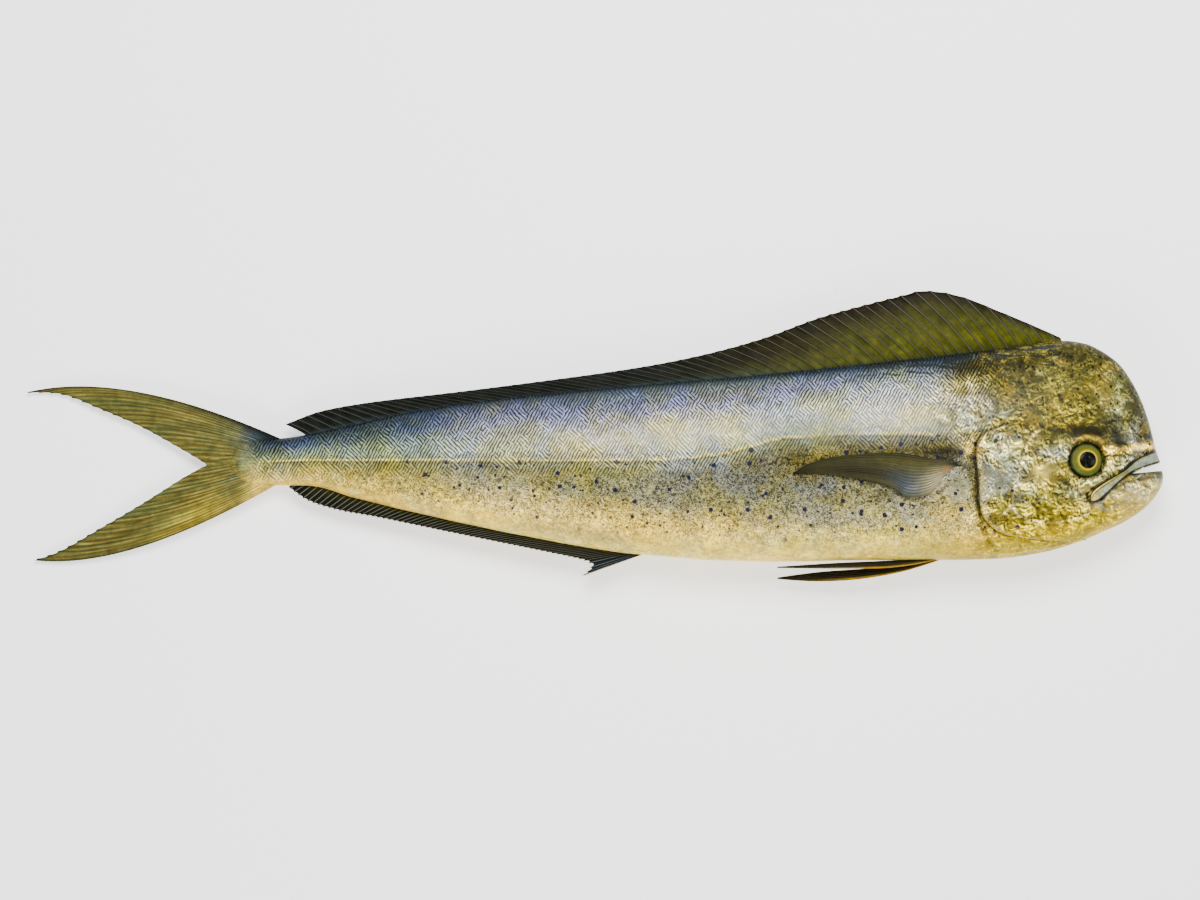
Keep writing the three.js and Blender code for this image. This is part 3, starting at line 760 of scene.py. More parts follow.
def makeFinMaterial(name, look):  # rays along a sheet, with thin membrane between them
    s = Shader(name)
    ray, out = s.layer("ray"), s.layer("out")
    along = s.vector(ray, s.times(out, look["streakLength"]))
    streak = s.noise(along, look["streakScale"], 4, 0.6)
    cloud = s.noise(s.place(), grain / 9, 4, 0.65, 0.5)
    tint = s.vary(s.vary(s.layer("tint", "Color"), streak, look["streaks"]), cloud, look["clouds"])
    hue = s.noise(along, look["streakScale"] * 0.45, 3, 0.6)
    tint = s.blend(s.steps(hue, 0.45, 0.6), tint, s.tone(tint, look["shift"]))
    width = look["rayWidth"]
    away = s.gap(s.maths("FRACT", ray))
    line = s.steps(away, width, width * 0.3)
    twin = s.gap(s.maths("FRACT", s.times(ray, 2)))
    branch = s.times(s.steps(twin, width * 1.4, 0.05), s.steps(out, 0.35, 0.6))
    # painted shade along each side of a ray, in the groove where it meets the membrane
    edge = s.steps(away, width * 2.4, width * 1.1)
    tint = s.blend(s.times(edge, look["groove"]), tint, colour(*look["dark"]))
    for part, strength in ((branch, look["branch"]), (line, look["line"])):
        tint = s.blend(s.times(part, strength), tint, colour(*look["rayColour"]))
    relief = s.plus(s.plus(line, s.times(branch, 0.5)), s.times(streak, 0.8))
    s.bump(relief, 0.5, 0.5 * unit)
    s.settle(Base_Color=tint, Metallic=0.0, Coat_Weight=0.0, IOR=1.35, Specular_IOR_Level=0.035)
    s.settle(Roughness=s.steps(streak, 0.3, 0.7, (0.3, 0.42)))
    return s.material


skinMaterial = makeSkinMaterial()

trunk = {
    "sides": 240,
    "trunkRings": 224,
    "headRings": 104,
    "lipRings": 8,
    "tail": (-303.0, -20.4),
    "headStart": 300.0,
    "backEnd": (448.6, -21.0),  # where the line of the back reaches the upper lip
    "bellyEnd": (450.3, -38.0),
    "chin": smoothPath([(450.6, -38), (451, -34), (450.9, -30.5), (450.1, -28)]),
    "upperLip": smoothPath([(448.6, -21), (441, -23.2), (433.4, -25.6), (425.5, -29.6)]),
    "lowerLip": smoothPath([(425.5, -29.6), (437, -29.3), (444, -28.7), (450.1, -28)]),
    "lipRoll": 1.9,
}


def headLine(line, end):  # a line of the form from the start of the head to a lip, finer at the snout
    xs = np.concatenate([np.linspace(trunk["headStart"], 440, 300), np.linspace(440, end[0], 200)[1:]])
    ys = line(xs)
    ys[-1] = end[1]
    return np.stack([xs, ys], axis=1)


def makeBody():
    sides, trunkRings, headRings = trunk["sides"], trunk["trunkRings"], trunk["headRings"]
    rings = trunkRings + headRings + trunk["lipRings"]
    bm = bmesh.new()
    bmesh.ops.create_uvsphere(bm, u_segments=sides, v_segments=rings, radius=1)
    mouthPole = max(bm.verts, key=lambda v: v.co.z)
    bmesh.ops.delete(bm, geom=[mouthPole], context="VERTS")
    mesh = newMesh("fishBody", bm)

    ball = readVertices(mesh, "co")
    ring = rings - np.rint(np.arccos(np.clip(ball[:, 2], -1, 1)) / math.pi * rings)  # 0 at the tail
    turn = np.rint(np.arctan2(ball[:, 1], ball[:, 0]) / math.tau * sides) * math.tau / sides
    side = np.sign(np.round(np.sin(turn), 9))
    angle = np.abs(turn)  # 0 at the back and pi at the belly
    weight = (1 - np.cos(angle)) / 2

    # trunk: flat sections
    x = mix(trunk["tail"][0], trunk["headStart"], np.clip(ring / trunkRings, 0, 1))
    up = np.cos(angle) > 0
    middle = form["widest"](x)
    reach = np.where(up, form["back"](x) - middle, middle - form["belly"](x))
    full = np.where(up, form["backFull"](x), form["bellyFull"])
    y = middle + reach * np.sign(np.cos(angle)) * np.abs(np.cos(angle)) ** (2 / full)
    half = form["half"](x) * np.abs(np.sin(angle)) ** (2 / full)
    tip = ring == 0
    y[tip], half[tip] = trunk["tail"][1], 0

    # head: sections that turn into the line of the lips
    inHead = ring > trunkRings
    u = np.clip((ring - trunkRings) / headRings, 0, 1)
    top = byLength(headLine(form["back"], trunk["backEnd"]))
    chin = np.stack(trunk["chin"](np.linspace(0.02, 1, 30)), axis=1)
    bottom = byLength(np.vstack([headLine(form["belly"], trunk["bellyEnd"]), chin]))
    upperX, upperY = trunk["upperLip"](np.clip(weight * 2, 0, 1))
    lowerX, lowerY = trunk["lowerLip"](np.clip(weight * 2 - 1, 0, 1))
    onUpper = weight < 0.5
    lips = np.stack([np.where(onUpper, upperX, lowerX), np.where(onUpper, upperY, lowerY)], axis=1)
    start = np.stack([np.full(len(x), trunk["headStart"]), y], axis=1)

    def bulge(edge, share):  # how far an edge stands off its chord, by its share in each place
        chord = mix(np.array(edge(0.0)), np.array(edge(1.0)), u[:, None])
        return share[:, None] ** 1.6 * (np.stack(edge(u), axis=1) - chord)

    spread = mix(start, lips, u[:, None]) + bulge(top, 1 - weight) + bulge(bottom, weight)
    x = np.where(inHead, spread[:, 0], x)
    y = np.where(inHead, spread[:, 1], y)
    half = np.where(inHead, flankHalf(x, y), half)
    half[(angle == 0) | (np.abs(angle - math.pi) < 1e-9)] = 0

    # lips: the skin rolls in and meets in the middle, which leaves the mouth open
    inward = np.clip((ring - trunkRings - headRings) / (trunk["lipRings"] - 1), 0, 1)
    roll = trunk["lipRoll"] * np.sin(np.clip(inward * 2.2, 0, math.pi / 2))
    y += roll * np.tanh(3 * np.cos(angle))
    x -= roll * 0.6 * np.sin(angle) ** 2
    half *= 1 - inward**1.5

    z = middleHeight(x) + side * half
    writePlaces(mesh, metres(x, y, np.maximum(z, 0)))
    addLayer(mesh, "inner", np.clip(inward * 3, 0, 1))
    addLayer(mesh, "way", side)

    normals = readVertices(mesh, "normal")
    facing = np.sign(np.sum(normals[:, 2] * side))  # the ball may have turned inside out
    lift = skinRelief(x, y) * (inward == 0) * (z > 0) * rise(0.02, 0.12, np.abs(normals[:, 2]))
    places = readVertices(mesh, "co") + normals * facing * (lift * unit)[:, None]
    places[:, 2] = np.maximum(places[:, 2], 0)
    writePlaces(mesh, places)

    bm = bmesh.new()
    bm.from_mesh(mesh)
    bmesh.ops.remove_doubles(bm, verts=bm.verts[:], dist=2e-6)
    bmesh.ops.recalc_face_normals(bm, faces=bm.faces)
    bm.to_mesh(mesh)
    openEdges = sum(1 for e in bm.edges if len(e.link_faces) != 2)
    bm.free()
    print("body open edges", openEdges)

    inner = readLayer(mesh, "inner")

    def addCheekLightAndFlesh(tint, px, py):
        ridge, shade = cheekLines(px, py)
        # pale crests on the throat's fine ridges, painted shadow beside the cheek's ridges with a painted
        # highlight on them, and the flesh inside the lips
        return dyed(
            tint, ("cream", 0.5 * np.clip(throatRays(px, py) - 0.6, 0, 1)), ("umber", 0.6 * shade),
            ("blush", 0.7 * ridge), (dyes["flesh"] * 0.6, inner),
        )

    paintSkin(mesh, readLayer(mesh, "way"), addCheekLightAndFlesh)
    finishMesh(mesh, "fishBody", skinMaterial, ["body"])


makeBody()


gillCover = {"uSteps": 110, "vSteps": 130, "lift": 2.2, "thickness": 2.4, "rounding": 1.6}


def makeGillCover(sideName, side):
    thickness = gillCover["thickness"]
    mesh, u, v, face = makeSheet("gillCover" + sideName, gillCover["uSteps"], gillCover["vSteps"])
    bend = 0.5 - 0.5 * np.cos(np.clip(v, 0, 1) * math.pi)
    y = mix(gill["low"] - 1.5, gill["high"] + 1.5, mix(v, bend, 0.6))
    rear = gill["rear"](y)
    x = mix(gill["front"](y) + 6, rear, u)
    edge = np.minimum(np.minimum(1 - u, v) * 90, (1 - v) * 60)  # units from a free border
    lift = mix(-1.5, gillCover["lift"], rise(0.0, 0.55, u))
    lift *= mix(0.35, 1.0, rise(0.0, 0.12, v)) * mix(-0.2, 1.0, rise(1.0, 0.86, v))
    ridge, shade = cheekLines(x, y)
    outer = lift + 0.55 * ridge - 0.4 * shade + 0.35 * hump(x - rear - 3.5, 2.2)
    rounding = np.clip(edge / gillCover["rounding"], 0, 1)
    thick = thickness * np.sqrt(np.clip(1 - (1 - rounding) ** 2, 0.02, 1))
    depth = outer - (thickness - np.where(face * side > 0, thick, -thick)) / 2
    shapeMesh(mesh, metres(x, y, np.maximum(onFlank(x, y, side, depth), 0)))

    def addLines(tint, px, py):
        ridge, shade = cheekLines(px, py)
        border = gill["rear"](py) - px
        # painted shadow beside the cheek's ridges, a painted highlight on them and along the raised rim near
        # the free rear border
        return dyed(
            tint, ("umber", 0.55 * shade), ("blush", 0.75 * ridge), ("blush", 0.55 * hump(border + 3.5, 1.8)),
        )

    paintSkin(mesh, side, addLines)
    finishMesh(mesh, "gillCover" + sideName, skinMaterial, ["gill_cover_" + sideName.lower()])


upperJaw = {
    "spine": smoothPath([
        (446.9, -16.1), (434, -20.6), (426.5, -24.7), (419.3, -29.8), (411.5, -35.2), (404, -40.8),
        (398, -45.6), (393, -50.6),
    ]),
    "halfWidth": smoothLine([
        (0, 4.7), (0.2, 4.5), (0.35, 3.3), (0.45, 2.7), (0.6, 3.3), (0.75, 4.4), (0.88, 4.9), (0.95, 4.2),
        (1, 2.2),
    ]),
    "lift": 1.3,
    "thickness": 2.6,
}


def makeUpperJaw(sideName, side):
    mesh, u, v, face = makeSheet("upperJaw" + sideName, 90, 22)
    middleX, middleY = upperJaw["spine"](u)
    aheadX, aheadY = upperJaw["spine"](np.clip(u + 0.02, 0, 1))
    behindX, behindY = upperJaw["spine"](np.clip(u - 0.02, 0, 1))
    dx, dy = aheadX - behindX, aheadY - behindY
    run = np.hypot(dx, dy)
    across = 2 * v - 1
    wide = upperJaw["halfWidth"](u)
    x = middleX + across * wide * (dy / run)
    y = middleY - across * wide * (dx / run)
    dome = np.sqrt(np.clip(1 - across**2, 0, 1))
    groove = 0.5 * hump(across - 0.35, 0.14) * rise(0.35, 0.6, u)  # it runs along the rear half
    lift = mix(-0.6, upperJaw["lift"], dome) + 0.35 * hump(across - 0.65, 0.2) - groove
    lift *= mix(0.2, 1, rise(0, 0.12, u)) * mix(0.5, 1, rise(1, 0.95, u))
    depth = np.where(face * side > 0, lift, lift - upperJaw["thickness"] * (0.15 + 0.85 * dome))
    shapeMesh(mesh, metres(x, y, onFlank(x, y, side, depth)))
    inner = across - 0.35 * rise(0.35, 0.6, u)
    border = (1 - np.abs(across)) * wide
    addColours(mesh, "tint", dyed(
        "sage",
        ("moss", (0.6 + 0.4 * np.sin(u * 30 + across * 4)) * 0.5),
        ("silver", 0.8 * hump(u - 0.72, 0.16) * hump(across + 0.35, 0.4)),
        ("straw", 0.6 * hump(u - 0.95, 0.07)),
        # painted shade in the groove along the rear half and a painted highlight on the ridge beside it; the
        # border painted dark as the shade of the gap round the jaw
        ("umber", 0.85 * hump(inner - 0.05, 0.14) * rise(0.35, 0.5, u)),
        ("cream", 0.8 * hump(inner - 0.3, 0.13) * rise(0.4, 0.55, u)),
        ("ink", 0.97 * rise(1.7, 1.0, border)),
    ))
    addColours(mesh, "marks", np.tile([0, 0, 0, 0.1], (len(u), 1)))
    addLayer(mesh, "flank", np.zeros(len(u)) + side)
    finishMesh(mesh, "upperJaw" + sideName, skinMaterial, ["upper_jaw_" + sideName.lower()])


for sideName, side in (("Right", 1), ("Left", -1)):
    makeGillCover(sideName, side)
    makeUpperJaw(sideName, side)

eye = {
    "rings": [  # from the middle of the pupil (0) to the edge (1)
        (0.0, (8, 8, 10)), (0.45, (8, 8, 10)), (0.475, (80, 74, 20)), (0.5, (222, 208, 84)),
        (0.55, (206, 190, 60)), (0.6, (150, 146, 50)), (0.68, (124, 124, 44)), (0.8, (122, 128, 66)),
        (0.87, (88, 96, 50)), (0.93, (36, 42, 28)), (1.0, (14, 16, 10)),
    ],
    "fibres": (70, 74, 34),
    "pupil": (8, 8, 10),
    "haze": (170, 176, 110),
}


def makeEyeMaterial():
    s = Shader("wetEye")
    away = s.layer("away")
    fibres = s.noise(s.vector(s.times(s.layer("turn"), 6.0), away), 3.0, 4, 0.6, 0.5)
    ramp = s.add("ShaderNodeValToRGB")
    s.fill(ramp, Fac=s.plus(away, s.times(s.less(fibres, 0.5), 0.03)))
    colours = ramp.color_ramp
    while len(colours.elements) < len(eye["rings"]):
        colours.elements.new(0.5)
    for element, (at, shown) in zip(colours.elements, eye["rings"]):
        element.position = at
        element.color = (*colour(*shown), 1)
    haze = s.noise(s.place(), 0.3 * grain)
    tint = s.blend(s.steps(fibres, 0.45, 0.7, (0.0, 0.35)), ramp.outputs[0], colour(*eye["fibres"]))
    tint = s.blend(s.steps(away, 0.465, 0.445), tint, colour(*eye["pupil"]))
    tint = s.blend(s.steps(haze, 0.5, 0.7, (0.0, 0.15)), tint, colour(*eye["haze"]))
    s.bump(fibres, 0.15, 0.2 * unit)
    s.settle(Base_Color=tint, Roughness=0.3, Coat_Weight=0.03, Coat_Roughness=0.04, IOR=1.34)
    s.settle(Specular_IOR_Level=0.08)
    return s.material


eyeMaterial = makeEyeMaterial()


def flankDirection(x, y, side, step=4.0):  # the way that the flank faces
    def height(atX, atY):
        return np.maximum(onFlank(np.array([atX]), np.array([atY]), side), 0)[0]

    slopeX = (height(x + step, y) - height(x - step, y)) / (2 * step)
    slopeY = (height(x, y + step) - height(x, y - step)) / (2 * step)
    return Vector((-slopeX, -slopeY, 1)).normalized() * side


def makeEye(sideName, side):
    low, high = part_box("eye_" + sideName.lower())
    bm = bmesh.new()
    bmesh.ops.create_uvsphere(bm, u_segments=96, v_segments=72, radius=1)
    mesh = newMesh("eye" + sideName, bm)
    ball = readVertices(mesh, "co")
    away = np.hypot(ball[:, 0], ball[:, 1])
    front = ball[:, 2] > 0
    ball[:, 2] += np.where(front, 0.04 * rise(0.5, 0.44, away) - 0.02 * hump(away - 0.49, 0.03), 0)
    turned = flankDirection(eyeSpot["x"], eyeSpot["y"], side).to_track_quat("Z", "Y").to_matrix()
    sized = ball * np.array([eyeSpot["radius"], eyeSpot["radius"], eyeSpot["depth"]]) * unit
    shapeMesh(mesh, sized @ np.array(turned).T + np.array((low + high) / 2))
    addLayer(mesh, "away", np.where(front, away, 1.0))
    addLayer(mesh, "turn", np.abs(np.arctan2(ball[:, 1], ball[:, 0])))
    finishMesh(mesh, "eye" + sideName, eyeMaterial, ["eye_" + sideName.lower()])


makeEye("Right", 1)
makeEye("Left", -1)


# how thick a fin is at each place, with its rays raised above the membrane, and where those crests are
def finRelief(u, v, rays, root, margin, web=0.68):
    crest = hump(np.abs((u * rays) % 1 - 0.5), 0.17)
    thick = mix(root, margin, np.clip(v, 0, 1) ** 0.8)
    return thick * (web + (1 - web) * crest), crest


def finishFin(mesh, name, material, node, places, tint, ray, out):
    shapeMesh(mesh, metres(*places))
    addColours(mesh, "tint", tint)
    addLayer(mesh, "ray", ray)
    addLayer(mesh, "out", out)
    finishMesh(mesh, name, material, [node])


dorsal = {
    "rays": 64,
    "ends": (-224.0, 372.0),
    "lean": smoothLine([
        (-224, 20), (-190, 28), (-142, 36), (-57, 45), (26, 49), (100, 47), (160, 45), (212, 48), (280, 50),
        (318, 42), (345, 24), (360, 12), (371, 2),
    ]),
    "margin": smoothLine([
        (-243, 9.5), (-216, 19.5), (-184, 25.6), (-105, 35.2), (-42, 43.2), (37, 54.4), (85, 63.8),
        (132, 76.5), (180, 94), (212, 103), (243, 110.8), (262, 115), (274, 114.2), (291, 110.6),
        (322, 98.6), (354, 85), (376, 75),
    ]),
    "sag": smoothLine([(0, 0), (0.4, 1), (0.7, 8), (0.85, 9), (1, 0)]),
    "look": {
        "streakLength": 1.2, "streakScale": 2.6, "streaks": 3.0, "clouds": 3.0, "shift": (0.86, 0.94, 1.0),
        "rayWidth": 0.06, "groove": 0.6, "branch": 0.05, "line": 0.7, "dark": (14, 16, 8),
        "rayColour": (126, 122, 106),
    },
}


def makeDorsalFin():
    mesh, u, v, face = makeSheet("dorsalFin", dorsal["rays"] * 8, 22)
    baseX = mix(*dorsal["ends"], u)
    tipX = baseX - dorsal["lean"](baseX)
    thick, crest = finRelief(u, v, dorsal["rays"], 1.5, 0.45)
    out = v * (1 + (0.012 * crest - 0.008) * v**6)  # the margin is cut between the rays
    bow = np.sin(v * math.pi) * 0.06  # rays bow a little towards the head
    x = mix(baseX, tipX, out) + bow * (baseX - tipX)
    y = mix(form["back"](baseX) - 3, dorsal["margin"](tipX), out)
    wave = 0.5 * np.sin(u * 47 + 3 * v) * v + 0.3 * np.sin(u * 131) * v
    z = form["mid"](x) - dorsal["sag"](u) * v * v + wave + face * thick
    tint = dyed(
        (92, 92, 18),
        ((72, 72, 16), rise(0.2, 0.75, v)),
        ((30, 22, 16), rise(0.6, 0.97, v) * 0.92),
        ((34, 30, 10), rise(270, 150, baseX) * rise(0.1, 0.7, v) * 0.95),
        ((22, 34, 20), rise(0.2, 0.0, v) * 0.8),
        ((22, 27, 24), rise(190, 60, baseX) * 0.95),
        ((44, 66, 50), hump(baseX - 100, 90) * rise(0.5, 0.1, v) * 0.5),
        ((64, 76, 82), rise(180, 60, baseX) * rise(0.4, 0.1, v) * 0.75),
    )
    material = makeFinMaterial("dorsalSkin", dorsal["look"])
    finishFin(mesh, "dorsalFin", material, "dorsal_fin", (x, y, z), tint, u * dorsal["rays"], v)


makeDorsalFin()

anal = {
    "rays": 60,
    "base": smoothLine([(0, 46), (0.04, 41), (0.1, 30), (0.3, -30), (0.6, -118), (0.85, -190), (1, -231)]),
    "margin": smoothPath([
        (-9.2, -111.4), (-2, -105), (-1.5, -101), (-10.5, -97.5), (-42, -90.8), (-105, -78), (-168, -65),
        (-200, -59.2), (-225, -51.5), (-241.5, -40),
    ]),
    "sag": smoothLine([(0, 6), (0.15, 3), (0.5, 1), (1, 0)]),
    "look": {
        "streakLength": 1.0, "streakScale": 2.4, "streaks": 3.0, "clouds": 2.5, "shift": (0.9, 1.0, 1.0),
        "rayWidth": 0.11, "groove": 0.5, "branch": 0.06, "line": 0.75, "dark": (10, 11, 10),
        "rayColour": (158, 156, 136),
    },
}


def makeAnalFin():
    mesh, u, v, face = makeSheet("analFin", anal["rays"] * 7, 18)
    baseX = anal["base"](u)
    tipX, tipY = anal["margin"](u)
    thick, crest = finRelief(u, v, anal["rays"], 1.4, 0.4)
    out = v * (1 + (0.07 * crest - 0.04) * v**6)
    x = mix(baseX, tipX, out)
    y = mix(form["belly"](baseX) + 3, tipY, out)
    z = form["mid"](x) - anal["sag"](u) * v * v + 0.3 * np.sin(u * 60 + 2 * v) * v + face * thick
    tint = dyed(
        (52, 52, 22),
        ((20, 22, 16), rise(0.15, 0.6, v)),
        ((26, 42, 64), rise(0.09, 0.02, u) * 0.8),
        ((212, 190, 96), rise(0.012, 0.0, u) * 0.9),
    )
    material = makeFinMaterial("analSkin", anal["look"])
    finishFin(mesh, "analFin", material, "anal_fin", (x, y, z), tint, u * anal["rays"], v)


makeAnalFin()

tail = {
    "rays": 36,
    "root": smoothPath([(-247, -36.5), (-262, -31), (-268, -20.4), (-262, -9), (-243, -4)]),
    "trail": smoothPath([
        (-444.5, -98.6), (-422, -90.5), (-391, -73), (-359, -54.5), (-327, -34.4), (-312, -26),
        (-306.5, -23), (-311, -19.5), (-327, -10), (-359, 7.5), (-391, 21.2), (-422, 33), (-451.5, 34.2),
    ]),
    "bulge": smoothLine([(0, -33), (0.15, -17), (0.35, -3), (0.5, 0), (0.65, 4), (0.85, 20), (1, 35)]),
    "low": 0.3,  # how far it stays above the surface that the fish lies on
    "look": {
        "streakLength": 1.6, "streakScale": 2.2, "streaks": 6.0, "clouds": 2.6, "shift": (0.74, 0.98, 1.3),
        "rayWidth": 0.14, "groove": 0.3, "branch": 0.35, "line": 0.55, "dark": (60, 62, 20),
        "rayColour": (70, 80, 56),
    },
}


def makeTailFin():
    mesh, u, v, face = makeSheet("tailFin", tail["rays"] * 8, 90)
    rootX, rootY = tail["root"](u)
    trailX, trailY = tail["trail"](u)
    thick, crest = finRelief(u, v, tail["rays"], 2.2, 0.45, 0.76)
    lead = np.maximum(hump(u, 0.03), hump(u - 1, 0.03))  # stout leading rays
    thick += 0.9 * lead * (1 - v) ** 0.5 * np.clip(1 - v, 0, 1)
    out = v * (1 + (0.016 * crest - 0.01) * v**8)

    def sweep(start, bend, end):  # each ray is one arc from the root to the rear border
        return (1 - out) ** 2 * start + 2 * out * (1 - out) * bend + out**2 * end

    x = sweep(rootX, mix(rootX, trailX, 0.62), trailX)
    y = sweep(rootY, mix(rootY, trailY, 0.62) + tail["bulge"](u), trailY)
    z = np.maximum(middleHeight(x) + 0.5 * np.sin(u * 26) * v + face * thick, tail["low"])
    border = np.maximum(0.7 * rise(0.04, 0.0, u) * rise(0.1, 0.3, v), rise(0.95, 1.0, u))
    tint = dyed(
        (152, 140, 74),
        ((146, 134, 66), rise(0.2, 0.9, v)),
        ((206, 188, 84), hump(u - 0.12, 0.13) * hump(v - 0.22, 0.24) * 0.85),
        ((128, 146, 118), rise(0.34, 0.1, v) * hump(u - 0.5, 0.36) * 0.9),
        (skinTint(x, y), rise(0.34, 0.06, v) * 0.9),
        ((22, 30, 36), rise(0.8, 1.0, u) * rise(0.5, 0.1, v) * 0.9),
        ((24, 26, 14), border * 0.85),
        ((44, 46, 14), rise(0.95, 1.0, v) * 0.7),
    )
    material = makeFinMaterial("tailSkin", tail["look"])
    finishFin(mesh, "tailFin", material, "tail_fin", (x, y, z), tint, u * tail["rays"], v)


makeTailFin()

pectoral = {
    "rays": 14,
    "upper": smoothPath([
        (291, -23.4), (277.5, -19.5), (261.5, -16.8), (245.6, -14), (222, -13.4), (193, -16), (172, -21),
        (157.6, -29.2),
    ]),
    "lower": smoothPath([
        (288, -27), (280, -33), (271, -40.5), (264, -45.6), (253.5, -48.7), (245.6, -47.4), (240.5, -43.6),
        (230, -38.4), (214, -34.6), (200, -32.6), (189, -30.8), (174, -29.6), (157.2, -30.2),
    ]),
    "low": 0.3,
    "look": {
        "streakLength": 1.5, "streakScale": 1.8, "streaks": 3.0, "clouds": 2.0, "shift": (0.9, 0.98, 1.1),
        "rayWidth": 0.16, "groove": 0.4, "branch": 0.2, "line": 0.4, "dark": (28, 26, 16),
        "rayColour": (128, 128, 100),
    },
}
pectoralMaterial = makeFinMaterial("pectoralSkin", pectoral["look"])


def betweenPaths(fin, u, v):
    upperX, upperY = fin["upper"](u)
    lowerX, lowerY = fin["lower"](u)
    return mix(lowerX, upperX, v), mix(lowerY, upperY, v)


def makePectoralFin(sideName, side):
    mesh, u, v, face = makeSheet("pectoralFin" + sideName, 150, pectoral["rays"] * 9)
    x, y = betweenPaths(pectoral, u, v)
    thick = finRelief(v, u, pectoral["rays"], 1.3, 0.4)[0] * np.clip(np.minimum(v, 1 - v) / 0.05, 0.25, 1)
    lift = mix(-5.0, 3.2, rise(-0.12 * v, 0.3 - 0.2 * v, u)) - rise(0.55, 1.0, u) + hump(u - 0.3, 0.1)
    z = onFlank(x, y, side, lift) + face * thick
    if side < 0:  # the lower one lies folded between the flank and the surface
        z = np.maximum(z, pectoral["low"] + 0.5 * (face + 1))
    tint = dyed(
        (98, 92, 44),
        ((66, 62, 34), rise(0.3, 0.7, u)),
        ((26, 24, 12), rise(0.8, 1.0, v) * 0.85),
        ((30, 22, 12), hump(v - 0.5 + 0.25 * u, 0.2) * hump(u - 0.58, 0.3) * 0.85),
        ((92, 108, 126), hump(v - 0.25, 0.3) * hump(u - 0.3, 0.13) * 0.8),
        (skinTint(x, y), rise(0.24, 0.08, u) * (1 - 0.7 * rise(0.5, 0.9, v))),
        ((206, 198, 168), hump(u - 0.16, 0.1) * hump(v - 0.25, 0.35) * 0.85),
        ((222, 176, 100), hump(u - 0.09, 0.03) * hump(v - 0.6, 0.12) * 0.6),
        ("ink", hump(u - 0.03, 0.05) * hump(v - 0.95, 0.14) * 0.85),
        ((22, 20, 12), rise(0.85, 1.0, u) * 0.7),
    )
    name, node = "pectoralFin" + sideName, "pectoral_fin_" + sideName.lower()
    finishFin(mesh, name, pectoralMaterial, node, (x, y, z), tint, v * pectoral["rays"], u)


makePectoralFin("Right", 1)
makePectoralFin("Left", -1)

pelvic = {
    "rays": 6,
    "look": {
        "streakLength": 1.2, "streakScale": 2.2, "streaks": 3.0, "clouds": 2.0, "shift": (0.9, 1.0, 1.1),
        "rayWidth": 0.12, "groove": 0.4, "branch": 0.1, "line": 0.35, "dark": (22, 20, 16),
        "rayColour": (156, 146, 104),
    },
    "Right": {
        "upper": smoothPath([(280, -92), (262, -96.8), (229, -98.6), (190, -100.4), (146.5, -103.2)]),
        "lower": smoothPath([(277, -96.5), (255, -101.5), (229, -104.4), (190, -104.8), (146, -104.3)]),
        "root": 4.5, "tip": 41.0,
    },
    "Left": {
        "upper": smoothPath([(280, -93), (255, -101), (220, -104.6), (180, -107.6), (147, -112)]),
        "lower": smoothPath([(277, -97.5), (245, -107.5), (210, -113.6), (176, -115.2), (146.5, -113.4)]),
        "root": -4.5, "tip": 16.0,
    },
}
pelvicMaterial = makeFinMaterial("pelvicSkin", pelvic["look"])


def makePelvicFin(sideName):
    fin = pelvic[sideName]
    mesh, u, v, face = makeSheet("pelvicFin" + sideName, 140, 48)
    x, y = betweenPaths(fin, u, v)
    thick = finRelief(v, u, pelvic["rays"], 1.4, 0.4)[0] * np.clip(np.minimum(v, 1 - v) / 0.12, 0.2, 1)
    crown = 1.2 * np.sin(v * math.pi) * np.sin(u * math.pi)
    z = mix(form["mid"](x) + fin["root"], fin["tip"], u**1.3) + crown + face * thick
    tint = dyed(
        (160, 138, 56),
        ((40, 38, 20), rise(0.0, 0.35, u)),
        ((8, 7, 6), rise(0.35, 0.7, v) * 0.95),
        ((220, 190, 84), rise(0.34, 0.05, v) * rise(0.95, 0.4, u) * 0.85),
    )
    name, node = "pelvicFin" + sideName, "pelvic_fin_" + sideName.lower()
    finishFin(mesh, name, pelvicMaterial, node, (x, y, z), tint, v * pelvic["rays"], u)


makePelvicFin("Right")
makePelvicFin("Left")
print("pieces made")

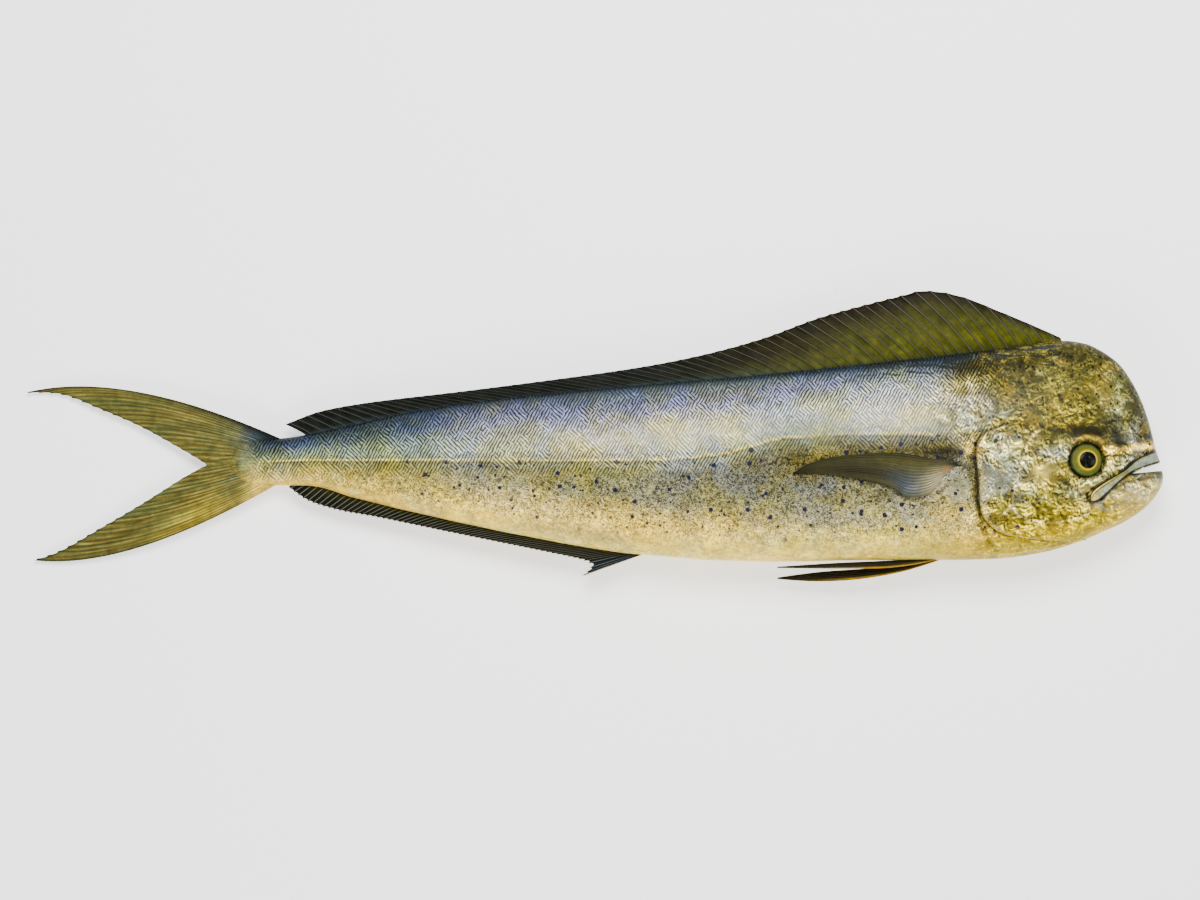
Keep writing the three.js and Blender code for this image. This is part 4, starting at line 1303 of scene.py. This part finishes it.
studio = {
    "floor": 9,  # half its width, in lengths of the fish
    "floorGap": 0.0004,
    "glow": 1.15,
    "world": 0.15,
    "lamps": {  # place and size in lengths of the fish, and watts
        "key": ((0.2, 1.05, 2.0), 1.1, 72),
        "fill": ((-0.5, -1.7, 1.3), 1.3, 28),
        "side": ((2.0, -0.1, 1.3), 0.9, 17),
    },
    "lens": 280,
    "sensor": 36,
    "viewWidth": 948,  # in drawn units
    "viewMiddle": (5.5, -10.7),
}


def makeStage():
    scene = bpy.context.scene
    middle = (cadLow + cadHigh) / 2
    long = cadHigh.x - cadLow.x
    bm = bmesh.new()
    bmesh.ops.create_grid(bm, x_segments=1, y_segments=1, size=long * studio["floor"])
    floor = bpy.data.objects.new("floor", newMesh("floor", bm))
    floor.location = (0, 0, cadLow.z - studio["floorGap"])
    paper = Shader("palePaper")
    paper.settle(Base_Color=(0.9, 0.9, 0.9), Roughness=0.9)
    paper.settle(Emission_Color=(1, 1, 1), Emission_Strength=studio["glow"])
    floor.data.materials.append(paper.material)

    scene.world = bpy.data.worlds.new("studio")
    scene.world.use_nodes = True
    background = scene.world.node_tree.nodes["Background"]
    background.inputs[0].default_value = (1, 1, 1, 1)
    background.inputs[1].default_value = studio["world"]

    things = [floor]
    for name, (share, size, watts) in studio["lamps"].items():
        light = bpy.data.lights.new(name, "AREA")
        light.shape = "DISK"
        light.size = long * size
        light.energy = watts
        lamp = bpy.data.objects.new(name, light)
        lamp.location = [long * s for s in share]
        lamp.rotation_mode = "QUATERNION"
        lamp.rotation_quaternion = (middle - Vector([long * s for s in share])).to_track_quat("-Z", "Y")
        things.append(lamp)

    lens = bpy.data.cameras.new("camera")
    lens.lens = studio["lens"]
    lens.sensor_width = studio["sensor"]
    lens.clip_end = 100
    camera = bpy.data.objects.new("camera", lens)
    wide = long * studio["viewWidth"] / drawn["length"]
    asideX, asideY = studio["viewMiddle"]
    camera.location = (
        middle.x + asideX * unit, middle.y + asideY * unit, middle.z + wide * lens.lens / lens.sensor_width,
    )
    things.append(camera)
    for thing in things:
        scene.collection.objects.link(thing)
    scene.camera = camera


makeStage()
